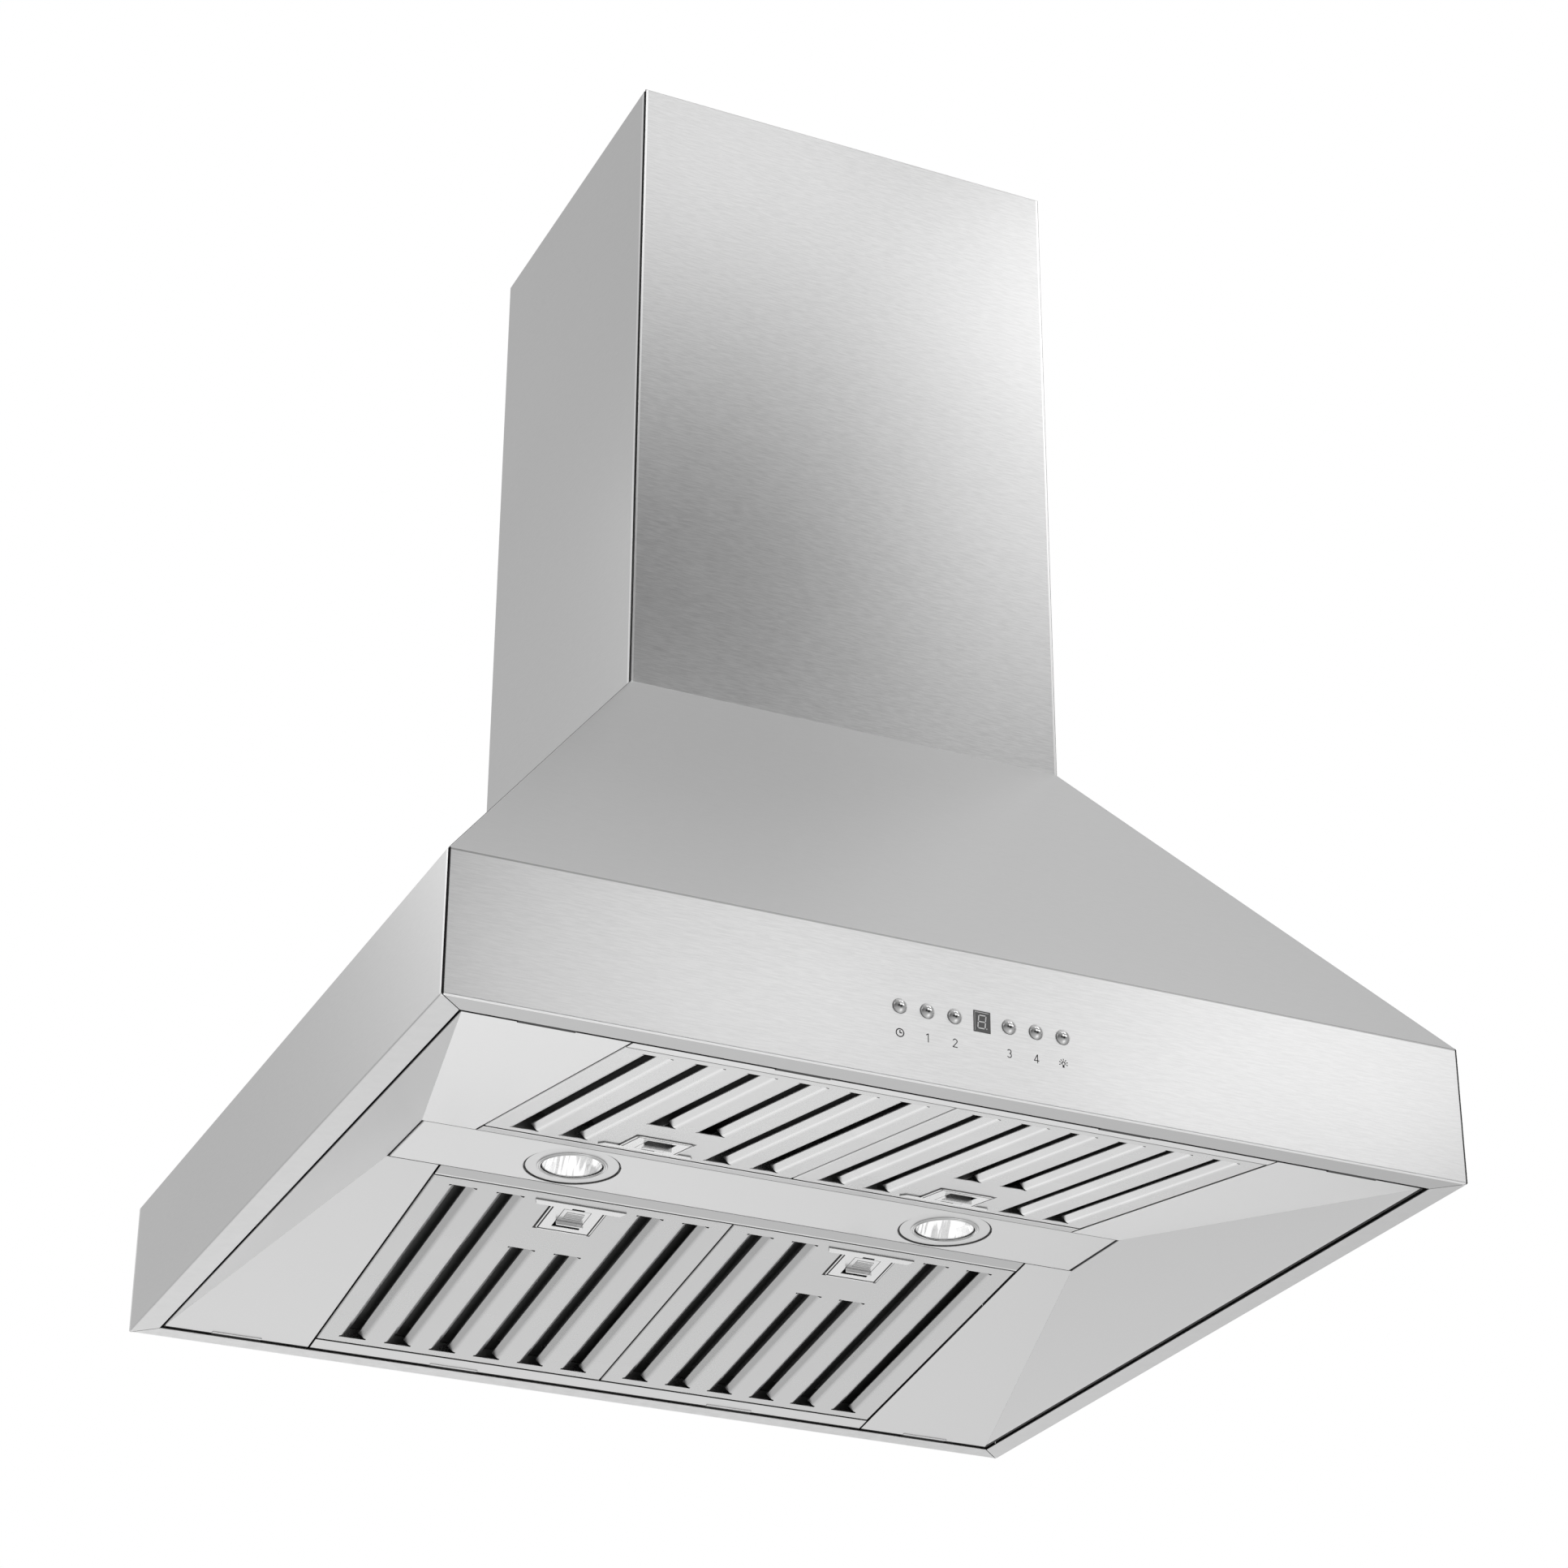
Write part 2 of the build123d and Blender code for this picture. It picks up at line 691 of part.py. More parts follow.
def duct_collar():
    """Round spigot on a square flange that covers the blower's outlet."""
    flange_size = 2 * (duct_radius + duct_flange)
    collar = centred(flange_size, flange_size, duct_low, duct_low + duct_sheet)
    collar += rod(duct_radius, duct_low, duct_low + duct_height)
    return collar - rod(duct_radius - duct_sheet, duct_low - overrun, duct_low + duct_height + overrun)


def damper_pin():
    length = sqrt((duct_radius - duct_sheet) ** 2 - damper_pin_radius ** 2) - running_gap
    return along_x(drum(damper_pin_radius, -length, length), 0, damper_z)


def damper_flap(side, knuckle_x):
    """Half-round flap with two knuckles that turn on the pin."""
    radius = duct_radius - duct_sheet - 2 * fit_gap
    low = damper_z - damper_sheet / 2
    high = damper_z + damper_sheet / 2
    near = knuckle_radius + fit_gap
    flap = drum(radius, low, high) & block(-radius, radius, near, radius, low, high)
    knuckle = drum(knuckle_radius, -knuckle_length / 2, knuckle_length / 2)
    bore = along_x(drum(damper_pin_radius + running_gap, -radius, radius), 0, damper_z)
    for x in (-knuckle_x, knuckle_x):
        flap += Pos(x, 0, 0) * along_x(knuckle, 0, damper_z)
        flap += block(x - knuckle_length / 2, x + knuckle_length / 2, 0, near, low, high)
    return Rot(0, 0, 0 if side == "rear" else 180) * (flap - bore)


# Chimney and the frame that hangs the hood

cover_back = -chimney_half[1] + sheet
wrap_front = cover_back + cover_gap
sleeve_half = (chimney_half[0] - sheet - sleeve_gap, -wrap_front - sheet - sleeve_gap)
frame_half = tuple(side - sheet - strut_clearance for side in sleeve_half)
plate_top = chimney_top - plate_drop
strut_low = duct_low
strut_top = plate_top - plate_sheet


def folded_tube(half, bend, z0, z1):
    """Upright tube of bent sheet with rounded corners."""
    outer = RectangleRounded(2 * half[0], 2 * half[1], bend)
    inner = RectangleRounded(2 * (half[0] - sheet), 2 * (half[1] - sheet), bend - sheet)
    return extrude(Pos(0, 0, z0) * (outer - inner), z1 - z0)


def chimney_pieces():
    """Flat front cover, a wrap whose edges return behind it, and the sleeve that slides inside."""
    across = (-chimney_half[0], chimney_half[0])
    cover = block(*across, -chimney_half[1], cover_back, pyramid_top, chimney_top)
    cover = fillet(cover.edges().filter_by(Axis.Z), cover_round)
    wrap_half = (chimney_half[0], (chimney_half[1] - wrap_front) / 2)
    wrap = folded_tube(wrap_half, chimney_bend, pyramid_top, chimney_top)
    wrap = Pos(0, (chimney_half[1] + wrap_front) / 2, 0) * wrap
    collar_top = pyramid_top + collar_height + fit_gap
    return_back = wrap_front + chimney_bend
    for reach, top in ((chimney_half[0] - return_width, chimney_top), (chimney_half[0] - sheet, collar_top)):
        wrap -= block(-reach, reach, wrap_front - overrun, return_back, pyramid_top - overrun, top)
    upper = folded_tube(sleeve_half, chimney_bend, collar_top, plate_top)
    return {"chimney_front": cover, "chimney_wrap": wrap, "upper_chimney": upper}


def frame_pieces():
    struts = []
    bolts = []
    for side_x in (-1, 1):
        for side_y in (-1, 1):
            x0, x1 = sorted((side_x * frame_half[0], side_x * (frame_half[0] - strut_size)))
            y0, y1 = sorted((side_y * frame_half[1], side_y * (frame_half[1] - strut_size)))
            web_x = sorted((side_x * frame_half[0], side_x * (frame_half[0] - strut_sheet)))
            web_y = sorted((side_y * frame_half[1], side_y * (frame_half[1] - strut_sheet)))
            strut = block(*web_x, y0, y1, strut_low, strut_top) + block(x0, x1, *web_y, strut_low, strut_top)
            foot_top = strut_low + strut_sheet
            struts.append(strut + block(x0, x1, y0, y1, strut_low, foot_top))
            centre = ((x0 + x1) / 2, (y0 + y1) / 2)
            head = extrude(RegularPolygon(bolt_head_radius, 6), bolt_head_height)
            bolts.append(Pos(*centre, foot_top) * head)
    plate = centred(2 * frame_half[0], 2 * frame_half[1], strut_top, plate_top)
    plate -= centred(*plate_opening, strut_top - overrun, plate_top + overrun)
    for x in (-bolt_spacing_x / 2, bolt_spacing_x / 2):
        for y in (-bolt_spacing_y / 2, bolt_spacing_y / 2):
            plate -= Pos(x, y, 0) * rod(bolt_hole_radius, strut_top - overrun, plate_top + overrun)
    return {"support_struts": Compound(struts), "frame_bolts": Compound(bolts), "ceiling_plate": plate}


def electric_boxes():
    length, width, height = transformer_size
    supply = centred(length, width, strip_top, strip_top + height)
    supply = chamfer(supply.edges().filter_by(Axis.Z), edge_round)
    width_x, width_y, drop = junction_size
    box_x = blower_width / 2 + width_x / 2 + junction_gap
    box = Pos(box_x, 0, 0) * centred(width_x, width_y, deck_height - drop, deck_height)
    box = chamfer(box.edges().filter_by(Axis.Z), edge_round)
    return {"transformer": supply, "junction_box": box}


# Write every piece to its own file

pieces = {}
pieces.update(canopy_panels())
pieces.update(liner_panels())
pieces["light_panel"] = light_strip()
pieces.update(filter_sets())
for hand, lamp_x in lamp_places.items():
    pieces["lamp_ring_" + hand] = lamp_ring(lamp_x)
    pieces["lamp_housing_" + hand] = lamp_can(lamp_x)
    pieces["bulb_" + hand] = lamp_bulb(lamp_x)
for label, button_x in zip(button_names, button_places):
    pieces["button_" + label] = push_button(button_x)
pieces.update(board_pieces())
pieces["blower_housing"] = blower_housing()
pieces["fan_wheel"] = fan_wheel()
pieces["motor"] = motor()
pieces["motor_bracket"] = motor_bracket()
pieces["blower_deck"] = blower_deck()
pieces["duct_collar"] = duct_collar()
pieces["damper_pin"] = damper_pin()
for side, knuckle_x in zip(("front", "rear"), knuckle_places):
    pieces["damper_flap_" + side] = damper_flap(side, knuckle_x)
pieces.update(chimney_pieces())
pieces.update(frame_pieces())
pieces.update(electric_boxes())

os.makedirs("parts", exist_ok=True)
for name, shape in pieces.items():
    export_step(shape, f"parts/{name}.step")
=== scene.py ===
import json
from math import asin, atan2, cos, pi, sin

import bmesh
import bpy
from mathutils import Matrix, Vector


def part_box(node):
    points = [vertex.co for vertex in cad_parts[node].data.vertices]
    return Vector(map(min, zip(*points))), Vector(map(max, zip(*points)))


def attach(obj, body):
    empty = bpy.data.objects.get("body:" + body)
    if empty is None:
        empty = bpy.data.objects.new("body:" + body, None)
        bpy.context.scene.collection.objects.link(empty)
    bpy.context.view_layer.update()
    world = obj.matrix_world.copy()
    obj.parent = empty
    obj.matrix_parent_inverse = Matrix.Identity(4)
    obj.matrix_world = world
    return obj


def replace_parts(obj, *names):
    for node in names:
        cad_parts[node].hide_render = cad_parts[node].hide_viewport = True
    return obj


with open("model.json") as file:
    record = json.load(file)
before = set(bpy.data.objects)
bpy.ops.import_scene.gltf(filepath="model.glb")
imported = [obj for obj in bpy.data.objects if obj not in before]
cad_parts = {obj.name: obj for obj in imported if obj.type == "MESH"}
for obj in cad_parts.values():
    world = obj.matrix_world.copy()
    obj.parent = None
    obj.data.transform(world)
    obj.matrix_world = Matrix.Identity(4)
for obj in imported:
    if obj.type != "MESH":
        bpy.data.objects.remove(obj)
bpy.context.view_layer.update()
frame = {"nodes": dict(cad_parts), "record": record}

# Island range hood in satin stainless steel: a brushed canopy and chimney above four baffle filters,
# two recessed reflector lamps and a row of chrome push buttons. Metres, in the frame of the solids.

mm = 0.001

# Camera, found from the canopy's and the liner's corners in the photograph
camera_azimuth = -0.4188
camera_elevation = -0.4762
camera_roll = 0.009
camera_distance = 2.9195
camera_aim = Vector((-0.01226, 0.0, 0.38584))
camera_lens = 85.28
camera_sensor = 36.0
camera_shift = (0.0212, 0.0072)

# Floor
floor_height = -3.2
floor_size = 18.0
floor_tone = 0.85
floor_glow = 0.4

# Room light: the way to each soft panel, its brightness over the room's, and how tight it is
room_brightness = 0.45
least_brightness = 0.02
soft_panels = (
    ((0.2, 0.2, 1.0), 0.16, 4.0),
    ((0.1, 1.0, -0.15), 0.66, 6.0),
    ((0.36, 0.63, -0.69), 0.11, 6.0),
    ((0.6, 0.8, 0.1), -0.15, 6.0),
    ((0.3, 0.6, 0.75), 0.25, 8.0),
    ((0.0, 0.0, -1.0), 0.18, 4.0),
    ((0.36, -0.81, 0.46), -0.5, 6.5),
    ((-0.81, -0.36, 0.3), -0.3, 6.0),
    ((0.36, -0.5, -0.79), 0.6, 14.0),
    ((0.2, -0.97, -0.1), -0.43, 24.0),
    ((-0.35, -0.93, 0.05), -0.43, 24.0),
    ((-0.4, 0.8, -0.45), -0.25, 8.0),
)

# Soft boxes: the place of each, its target, its size and its power
soft_boxes = {
    "cover_light": ((0.38, -0.98, 1.55), (0.0, -0.15, 0.85), (1.3, 0.45), 1.29),
    "cover_light_left": ((0.05, -0.75, 1.4), (-0.1, -0.15, 0.88), (0.5, 0.35), 0.31),
    "cover_light_right": ((0.75, -0.98, 1.3), (0.17, -0.15, 0.8), (0.5, 0.6), 1.22),
    "rim_light": ((0.3, -1.0, 0.3), (0.0, -0.36, 0.05), (1.0, 0.25), 0.27),
    "rim_light_left": ((0.1, -1.2, 0.5), (-0.3, -0.36, 0.05), (0.5, 0.5), 0.76),
    "rim_light_right": ((0.9, -1.33, 0.6), (0.35, -0.36, 0.05), (0.7, 0.55), 1.5),
    "side_light": ((-0.75, -0.1, 0.4), (-0.38, -0.3, 0.05), (0.7, 0.75), 1.15),
}

# Brushed steel of the canopy and the chimney
steel_tone = 0.72
wrap_tone = 0.76
steel_roughness = 0.33
calm_grain = 0.25
rim_grain = 0.8
slope_grain_share = 0.2
cover_grain = 1.1
grain_length = 10 * mm
grain_width = 0.8 * mm
rim_top = 101.5 * mm

# Satin steel of the liner, the filters and the latches
liner_tone = 0.86
strip_tone = 0.80
liner_roughness = 0.32
filter_tone = 0.76
filter_roughness = 0.28
filter_smears = 0.08
# The baffles behind the slots are the same steel, darkened as painted shade because they lie in shadow
baffle_shade_tone = 0.16
baffle_roughness = 0.5
latch_tone = 0.98
latch_roughness = 0.24

# Edges and joints: rounded normals, painted highlights along edges that stand partly for wear, and painted
# shade in joints and corners
edge_softness = 0.7 * mm
small_softness = 0.3 * mm
wear_and_highlight_share = 0.7
joint_reach = 2.0 * mm

# Liner and filters, as far as the lines on them need it
liner_front_edge = 331.6 * mm
liner_half_depth = 334.1 * mm
liner_half_width = 359.5 * mm
liner_foot = 1.2 * mm
liner_slope = atan2(48.3, 296.1)
strip_half_width = 37.7 * mm
lower_rail_edge = 317.9 * mm
upper_rail_edge = 52.0 * mm
filter_offset = 120.45 * mm
slot_pitch = 37.4 * mm
flap_reach = 11.0 * mm
flap_flat = 9.6 * mm
slot_start = 25.2 * mm
short_slot_end = 201.9 * mm
long_slot_end = 276.3 * mm
latch_half_width = 22.0 * mm
latch_foot = 235.7 * mm
latch_shoulder = 270.7 * mm
lip_place = 251.4 * mm

# Tones of the lines on the steel, most of them painted highlights and painted shade
painted_highlight_tone = 1.0
wear_and_highlight_tone = 0.97
flap_highlight_tone = 0.92
shade_tone = 0.66
flange_tone = 0.61
bend_shade_tone = 0.42
strip_edge_shade_tone = 0.2
seam_shade_tone = 0.06
edge_shade_tone = 0.05
joint_shade_tone = 0.04
cut_shade_tone = 0.03

# Widths of the lines on the steel, painted highlights and painted shade among them
line_width = 1.2 * mm
cut_width = 2.0 * mm
bend_half_width = 0.7 * mm
bend_height = 1.1 * mm
flange_skin = 0.3 * mm
flange_start = 2.0 * mm
corner_width = 3.5 * mm
cover_edge_width = 2.2 * mm
cover_joint_width = 0.5 * mm
wrap_edge_width = 5.0 * mm
wrap_joint_width = 1.6 * mm
rail_edge_width = 2.6 * mm
strip_edge_width = 0.6 * mm
latch_side_width = 2.4 * mm
latch_foot_width = 2.6 * mm
latch_edge_width = 1.0 * mm
ridge_half_width = 7.5 * mm
ridge_span = (4.0 * mm, 13.0 * mm)
ring_joint_width = 0.8 * mm

# Signs printed under the buttons
sign_height = 32.8 * mm
sign_depth = 0.05 * mm
sign_line = 0.75 * mm
digit_height = 6.3 * mm
digit_line = 0.62 * mm
clock_radius = 2.8 * mm
long_hand = 1.9 * mm
short_hand = 1.6 * mm
bulb_rise = 0.2 * mm
bulb_radius = 1.2 * mm
bulb_line = 0.7 * mm
bulb_foot_span = (1.0 * mm, 3.0 * mm)
bulb_foot_line = 1.4 * mm
ray_count = 7
ray_turn = pi / 5
ray_span = (2.2 * mm, 3.4 * mm)
ray_line = 0.6 * mm

# Display
figure_half_width = 2.7 * mm
figure_half_height = 4.7 * mm
figure_line = 0.85 * mm
figure_gap = 0.4 * mm
figure_lean = 0.1
point_offset = 1.3 * mm
point_radius = 0.28 * mm
point_line = 0.5 * mm
border_inset = 0.9 * mm
border_top_line = 0.4 * mm
border_side_line = 0.3 * mm

# Buttons
button_radius = 5.1 * mm
button_steps = 48
dome_height = 3.3 * mm
dome_steps = 12
stem_radius = 2.2 * mm
head_sheet = 1.2 * mm
panel_sheet = 1.2 * mm

# Lamps
ring_sheet = 1.5 * mm
ring_rim_radius = 26.0 * mm
ring_rim_drop = 1.6 * mm
ring_neck_radius = 31.5 * mm
ring_edge = 0.2 * mm
ring_clearance = 0.3 * mm
ring_steps = 96
groove_share = 0.58
outer_bead_share = 0.6
reflector_facets = 30
reflector_rows = 5
reflector_depth = 24 * mm
reflector_throat = 7 * mm
reflector_curve = 0.8
reflector_gap = 0.2 * mm
lens_sheet = 1.5 * mm
lens_bevel = 0.6 * mm
lens_steps = 64

# Meshes
sharp_turn = pi / 5
merge_distance = 0.001 * mm


# Node writing

def grey(tone):
    return (tone, tone, tone, 1.0)


class Value:
    """A value on a surface. Arithmetic with it adds Math nodes to its tree."""

    def __init__(self, nodes, link):
        self.nodes = nodes
        self.link = link

    def math(self, operation, first, second):
        return self.nodes.add("ShaderNodeMath", {"operation": operation}, {0: first, 1: second})

    def __add__(self, other):
        return self.math("ADD", self, other)

    def __sub__(self, other):
        return self.math("SUBTRACT", self, other)

    def __rsub__(self, other):
        return self.math("SUBTRACT", other, self)

    def __mul__(self, other):
        return self.math("MULTIPLY", self, other)

    def __pow__(self, other):
        return self.math("POWER", self, other)

    def __mod__(self, other):
        return self.math("MODULO", self, other)

    def __gt__(self, other):
        return self.math("GREATER_THAN", self, other)

    def __lt__(self, other):
        return self.math("LESS_THAN", self, other)

    def __abs__(self):
        return self.math("ABSOLUTE", self, 0.0)

    def at_least(self, low):
        return self.math("MAXIMUM", self, low)

    __radd__ = __add__
    __rmul__ = __mul__


class Nodes:
    """One node tree and the method that fills it."""

    def __init__(self, tree):
        self.tree = tree

    def add(self, kind, settings=None, inputs=None, out=0):
        """Make one node, set it up, fill its sockets with values or links, and give one of its outputs."""
        node = self.tree.nodes.new(kind)
        for name, value in (settings or {}).items():
            if name == "stops":
                self.set_stops(node.color_ramp, value)
            else:
                setattr(node, name, value)
        for name, value in (inputs or {}).items():
            socket = node.inputs[name]
            if isinstance(value, Value):
                self.tree.links.new(value.link, socket)
            else:
                socket.default_value = value
        if len(node.outputs) == 0:
            return None
        return Value(self, node.outputs[out])

    @staticmethod
    def set_stops(ramp, stops):
        while len(ramp.elements) < len(stops):
            ramp.elements.new(1.0)
        for element, (place, tone) in zip(ramp.elements, stops):
            element.position = place
            element.color = grey(tone)


class Shader(Nodes):
    """The node tree of one material or of the world."""

    def __init__(self, owner):
        owner.use_nodes = True
        owner.node_tree.nodes.clear()
        super().__init__(owner.node_tree)
        self.owner = owner

    def coordinates(self):
        return self.add("ShaderNodeTexCoord", out="Object")

    def mapped(self, scale=(1, 1, 1), location=(0, 0, 0)):
        values = {"Vector": self.coordinates(), "Scale": scale, "Location": location}
        return self.add("ShaderNodeMapping", {}, values)

    def axis(self, name):
        return self.add("ShaderNodeSeparateXYZ", {}, {0: self.coordinates()}, out=name)

    def noise(self, vector, scale, detail=2.0, roughness=0.5):
        values = {"Vector": vector, "Scale": scale, "Detail": detail, "Roughness": roughness}
        return self.add("ShaderNodeTexNoise", {}, values)

    def ramp(self, value, stops):
        return self.add("ShaderNodeValToRGB", {"stops": stops}, {"Fac": value})

    def blend(self, factor, first, second):
        """Mix two colours, which the Mix node takes at its sockets 6 and 7."""
        settings = {"data_type": "RGBA"}
        return self.add("ShaderNodeMix", settings, {0: factor, 6: first, 7: second}, out=2)

    def soft_edges(self, radius=edge_softness):
        """Normals that run round the edges of the sheet."""
        return self.add("ShaderNodeBevel", {"samples": 6}, {"Radius": radius})

    def worn_and_lit_edges(self):
        """Share of edge in a surface: nothing on the flat, all of it on a sharp outer edge."""
        flat = self.add("ShaderNodeNewGeometry", out="Normal")
        inputs = {0: self.soft_edges(), 1: flat}
        facing = self.add("ShaderNodeVectorMath", {"operation": "DOT_PRODUCT"}, inputs, out="Value")
        return self.ramp(1 - facing, ((0.01, 0.0), (0.12, 1.0)))

    def open_air(self):
        """Share of open air in front of a surface: little in joints and corners, all of it on open faces."""
        return self.add("ShaderNodeAmbientOcclusion", {"samples": 8}, {"Distance": joint_reach}, out="AO")

    def joint_shade(self, colour):
        """Paint highlights along the edges, partly as wear, and paint shade where two pieces meet and in
        corners.
        """
        worn = self.blend(wear_and_highlight_share * self.worn_and_lit_edges(), colour, grey(wear_and_highlight_tone))
        shade = self.ramp(self.open_air(), ((0.3, 1.0), (0.85, 0.0)))
        return self.blend(shade, worn, grey(joint_shade_tone))

    def lined(self, colour, lines):
        """Draw lines over a colour; each is the share of the surface that it takes, and its tone."""
        if lines is None:
            return colour
        for share, tone in lines(*[self.axis(name) for name in "XYZ"]):
            colour = self.blend(share, colour, grey(tone))
        return colour

    def bump(self, height, distance, strength, normal):
        values = {"Height": height, "Distance": distance, "Strength": strength, "Normal": normal}
        return self.add("ShaderNodeBump", {}, values)

    def surface(self, **inputs):
        """Finish the material with one principled surface; underscores in names stand for spaces."""
        named = {name.replace("_", " "): value for name, value in inputs.items()}
        shader = self.add("ShaderNodeBsdfPrincipled", {}, named)
        self.add("ShaderNodeOutputMaterial", {}, {"Surface": shader})
        return self.owner


def new_shader(name):
    return Shader(bpy.data.materials.new(name))


# Finishes

def brushed_steel(name, tone, contrast, slope_share=1.0, lines=None):
    """Stainless sheet with fine level grain; above the rim the grain keeps only a share of its contrast."""
    shader = new_shader(name)
    fine = shader.noise(shader.mapped((1 / grain_length, 1 / grain_length, 1 / grain_width)), 1.0, 3.0, 0.6)
    grain = shader.ramp(fine, ((0.32, 0.0), (0.68, 1.0)))
    clouds = shader.noise(shader.coordinates(), 5.0)
    share = contrast * (1 - (1 - slope_share) * (shader.axis("Z") > rim_top))
    shade = 0.5 + share * (grain - 0.5)
    brushed = shader.blend(shade, grey(tone * 0.92), grey(tone * 1.08))
    # Painted highlights along edges (partly wear), painted shade in joints, then the painted lines of light
    # and shade
    colour = shader.lined(shader.joint_shade(brushed), lines)
    rough = steel_roughness + 0.03 * share * (grain - 0.5) + 0.05 * (clouds - 0.5)
    normal = shader.bump(grain, 0.02 * mm, 0.05 * contrast, shader.soft_edges())
    return shader.surface(Base_Color=colour, Metallic=1.0, Roughness=rough, Normal=normal)


def satin_steel(name, tone, roughness, smears=0.0, lines=None):
    """Stainless sheet with an even satin face: a fine speckle, soft clouds and a few wiped smears."""
    shader = new_shader(name)
    clouds = shader.noise(shader.coordinates(), 9.0, 3.0)
    speckle = shader.noise(shader.coordinates(), 700.0, 2.0)
    wiped = shader.ramp(shader.noise(shader.mapped((6.0, 16.0, 6.0)), 1.0, 3.0), ((0.55, 0.0), (0.72, 1.0)))
    shade = 0.35 * clouds + 0.65 * speckle
    satin = shader.blend(shade, grey(tone * 0.98), grey(tone * 1.02))
    # Painted highlights along edges (partly wear), painted shade in joints, then the painted lines of light
    # and shade
    colour = shader.lined(shader.joint_shade(satin), lines)
    rough = roughness + 0.06 * (clouds - 0.5) + 0.03 * (speckle - 0.5) - smears * wiped
    normal = shader.bump(speckle, 0.01 * mm, 0.1, shader.soft_edges())
    return shader.surface(Base_Color=colour, Metallic=1.0, Roughness=rough, Normal=normal)


def chrome(name, tone=0.75):
    """Polished plate with faint smears."""
    shader = new_shader(name)
    smears = shader.noise(shader.coordinates(), 180.0, 2.0)
    colour = shader.blend(smears, grey(tone * 0.97), grey(tone * 1.03))
    return shader.surface(Base_Color=colour, Metallic=1.0, Roughness=0.04 + 0.05 * smears,
                          Normal=shader.soft_edges())


def lamp_ring_steel(name, centre, rim_radius, outer_radius):
    """Satin ring whose rolled inner rim is polished, with painted highlights and shade on the satin, and
    painted shade in the joint round its outer edge.
    """
    shader = new_shader(name)
    spot = shader.mapped(location=(-centre.x, -centre.y, 0))
    flat = shader.add("ShaderNodeVectorMath", {"operation": "MULTIPLY"}, {0: spot, 1: (1, 1, 0)})
    radius = shader.add("ShaderNodeVectorMath", {"operation": "LENGTH"}, {0: flat}, out="Value")
    outside = radius > rim_radius
    grain = shader.noise(shader.coordinates(), 900.0, 2.0)
    satin = shader.joint_shade(shader.blend(grain, grey(0.78), grey(0.84)))
    ring = shader.blend(outside, grey(0.8), satin)
    colour = shader.blend(radius > outer_radius - ring_joint_width, ring, grey(edge_shade_tone))
    rough = 0.08 + outside * (0.26 + 0.06 * grain)
    return shader.surface(Base_Color=colour, Metallic=1.0, Roughness=rough,
                          Normal=shader.soft_edges(small_softness))


def zinc(name, tone=0.6):
    """Galvanised sheet with its spangle."""
    shader = new_shader(name)
    cells = {"Vector": shader.coordinates(), "Scale": 90.0}
    spangle = shader.add("ShaderNodeTexVoronoi", {}, cells, out="Color")
    flake = shader.add("ShaderNodeSeparateColor", {}, {"Color": spangle})
    colour = shader.blend(flake, grey(tone * 0.85), grey(tone * 1.12))
    return shader.surface(Base_Color=colour, Metallic=1.0, Roughness=0.38 + 0.14 * flake)


def plain_finish(name, colour, roughness):
    """Paint, ink or moulded plastic with a fine uneven skin."""
    shader = new_shader(name)
    skin = shader.noise(shader.coordinates(), 600.0, 2.0)
    dark = tuple(0.85 * part for part in colour) + (1.0,)
    light = tuple(min(1.0, 1.12 * part) for part in colour) + (1.0,)
    tint = shader.blend(skin, dark, light)
    normal = shader.bump(skin, 0.03 * mm, 0.3, shader.soft_edges(small_softness))
    return shader.surface(Base_Color=tint, Roughness=roughness + 0.1 * (skin - 0.5), Normal=normal)


def smoked_window(name):
    """Dark display window with a soft reflection."""
    shader = new_shader(name)
    haze = shader.noise(shader.coordinates(), 300.0, 2.0)
    tint = shader.blend(haze, grey(0.03), grey(0.05))
    return shader.surface(Base_Color=tint, Roughness=0.16 + 0.1 * haze, Coat_Weight=0.4)


def lamp_lens(name):
    """Clear pressed glass."""
    shader = new_shader(name)
    ripple = shader.noise(shader.coordinates(), 260.0, 1.0)
    normal = shader.bump(ripple, 0.05 * mm, 0.2, shader.soft_edges(small_softness))
    return shader.surface(Base_Color=grey(1.0), Roughness=0.02, Transmission_Weight=1.0, IOR=1.45,
                          Normal=normal)


def mirror_facets(name):
    """Silvered facets, some of them given a painted glint that glows as if they caught the light."""
    shader = new_shader(name)
    streak = shader.noise(shader.mapped((330.0, 70.0, 12.0)), 1.0, 1.0)
    painted_glint = shader.ramp(streak, ((0.44, 0.0), (0.52, 1.0)))
    return shader.surface(Base_Color=grey(0.8), Metallic=1.0, Roughness=0.15, Emission_Color=painted_glint,
                          Emission_Strength=0.5)


# Mesh helpers

def piece(name, mesh, material, body):
    """Put a finished mesh on the object, riding on one body."""
    made = bpy.data.objects.new(name, mesh)
    bpy.context.scene.collection.objects.link(made)
    mesh.materials.clear()
    mesh.materials.append(material)
    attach(made, body)
    return made


def mesh_of(name, shape):
    """Close a bmesh into a mesh, with its faces pointing outwards."""
    bmesh.ops.remove_doubles(shape, verts=shape.verts, dist=merge_distance)
    bmesh.ops.recalc_face_normals(shape, faces=shape.faces)
    mesh = bpy.data.meshes.new(name)
    shape.to_mesh(mesh)
    shape.free()
    return mesh


def evaluated_mesh(drawn):
    """The finished mesh of a drawing object, which is then removed."""
    bpy.context.scene.collection.objects.link(drawn)
    bpy.context.view_layer.update()
    mesh = bpy.data.meshes.new_from_object(drawn.evaluated_get(bpy.context.evaluated_depsgraph_get()))
    bpy.data.objects.remove(drawn)
    return mesh


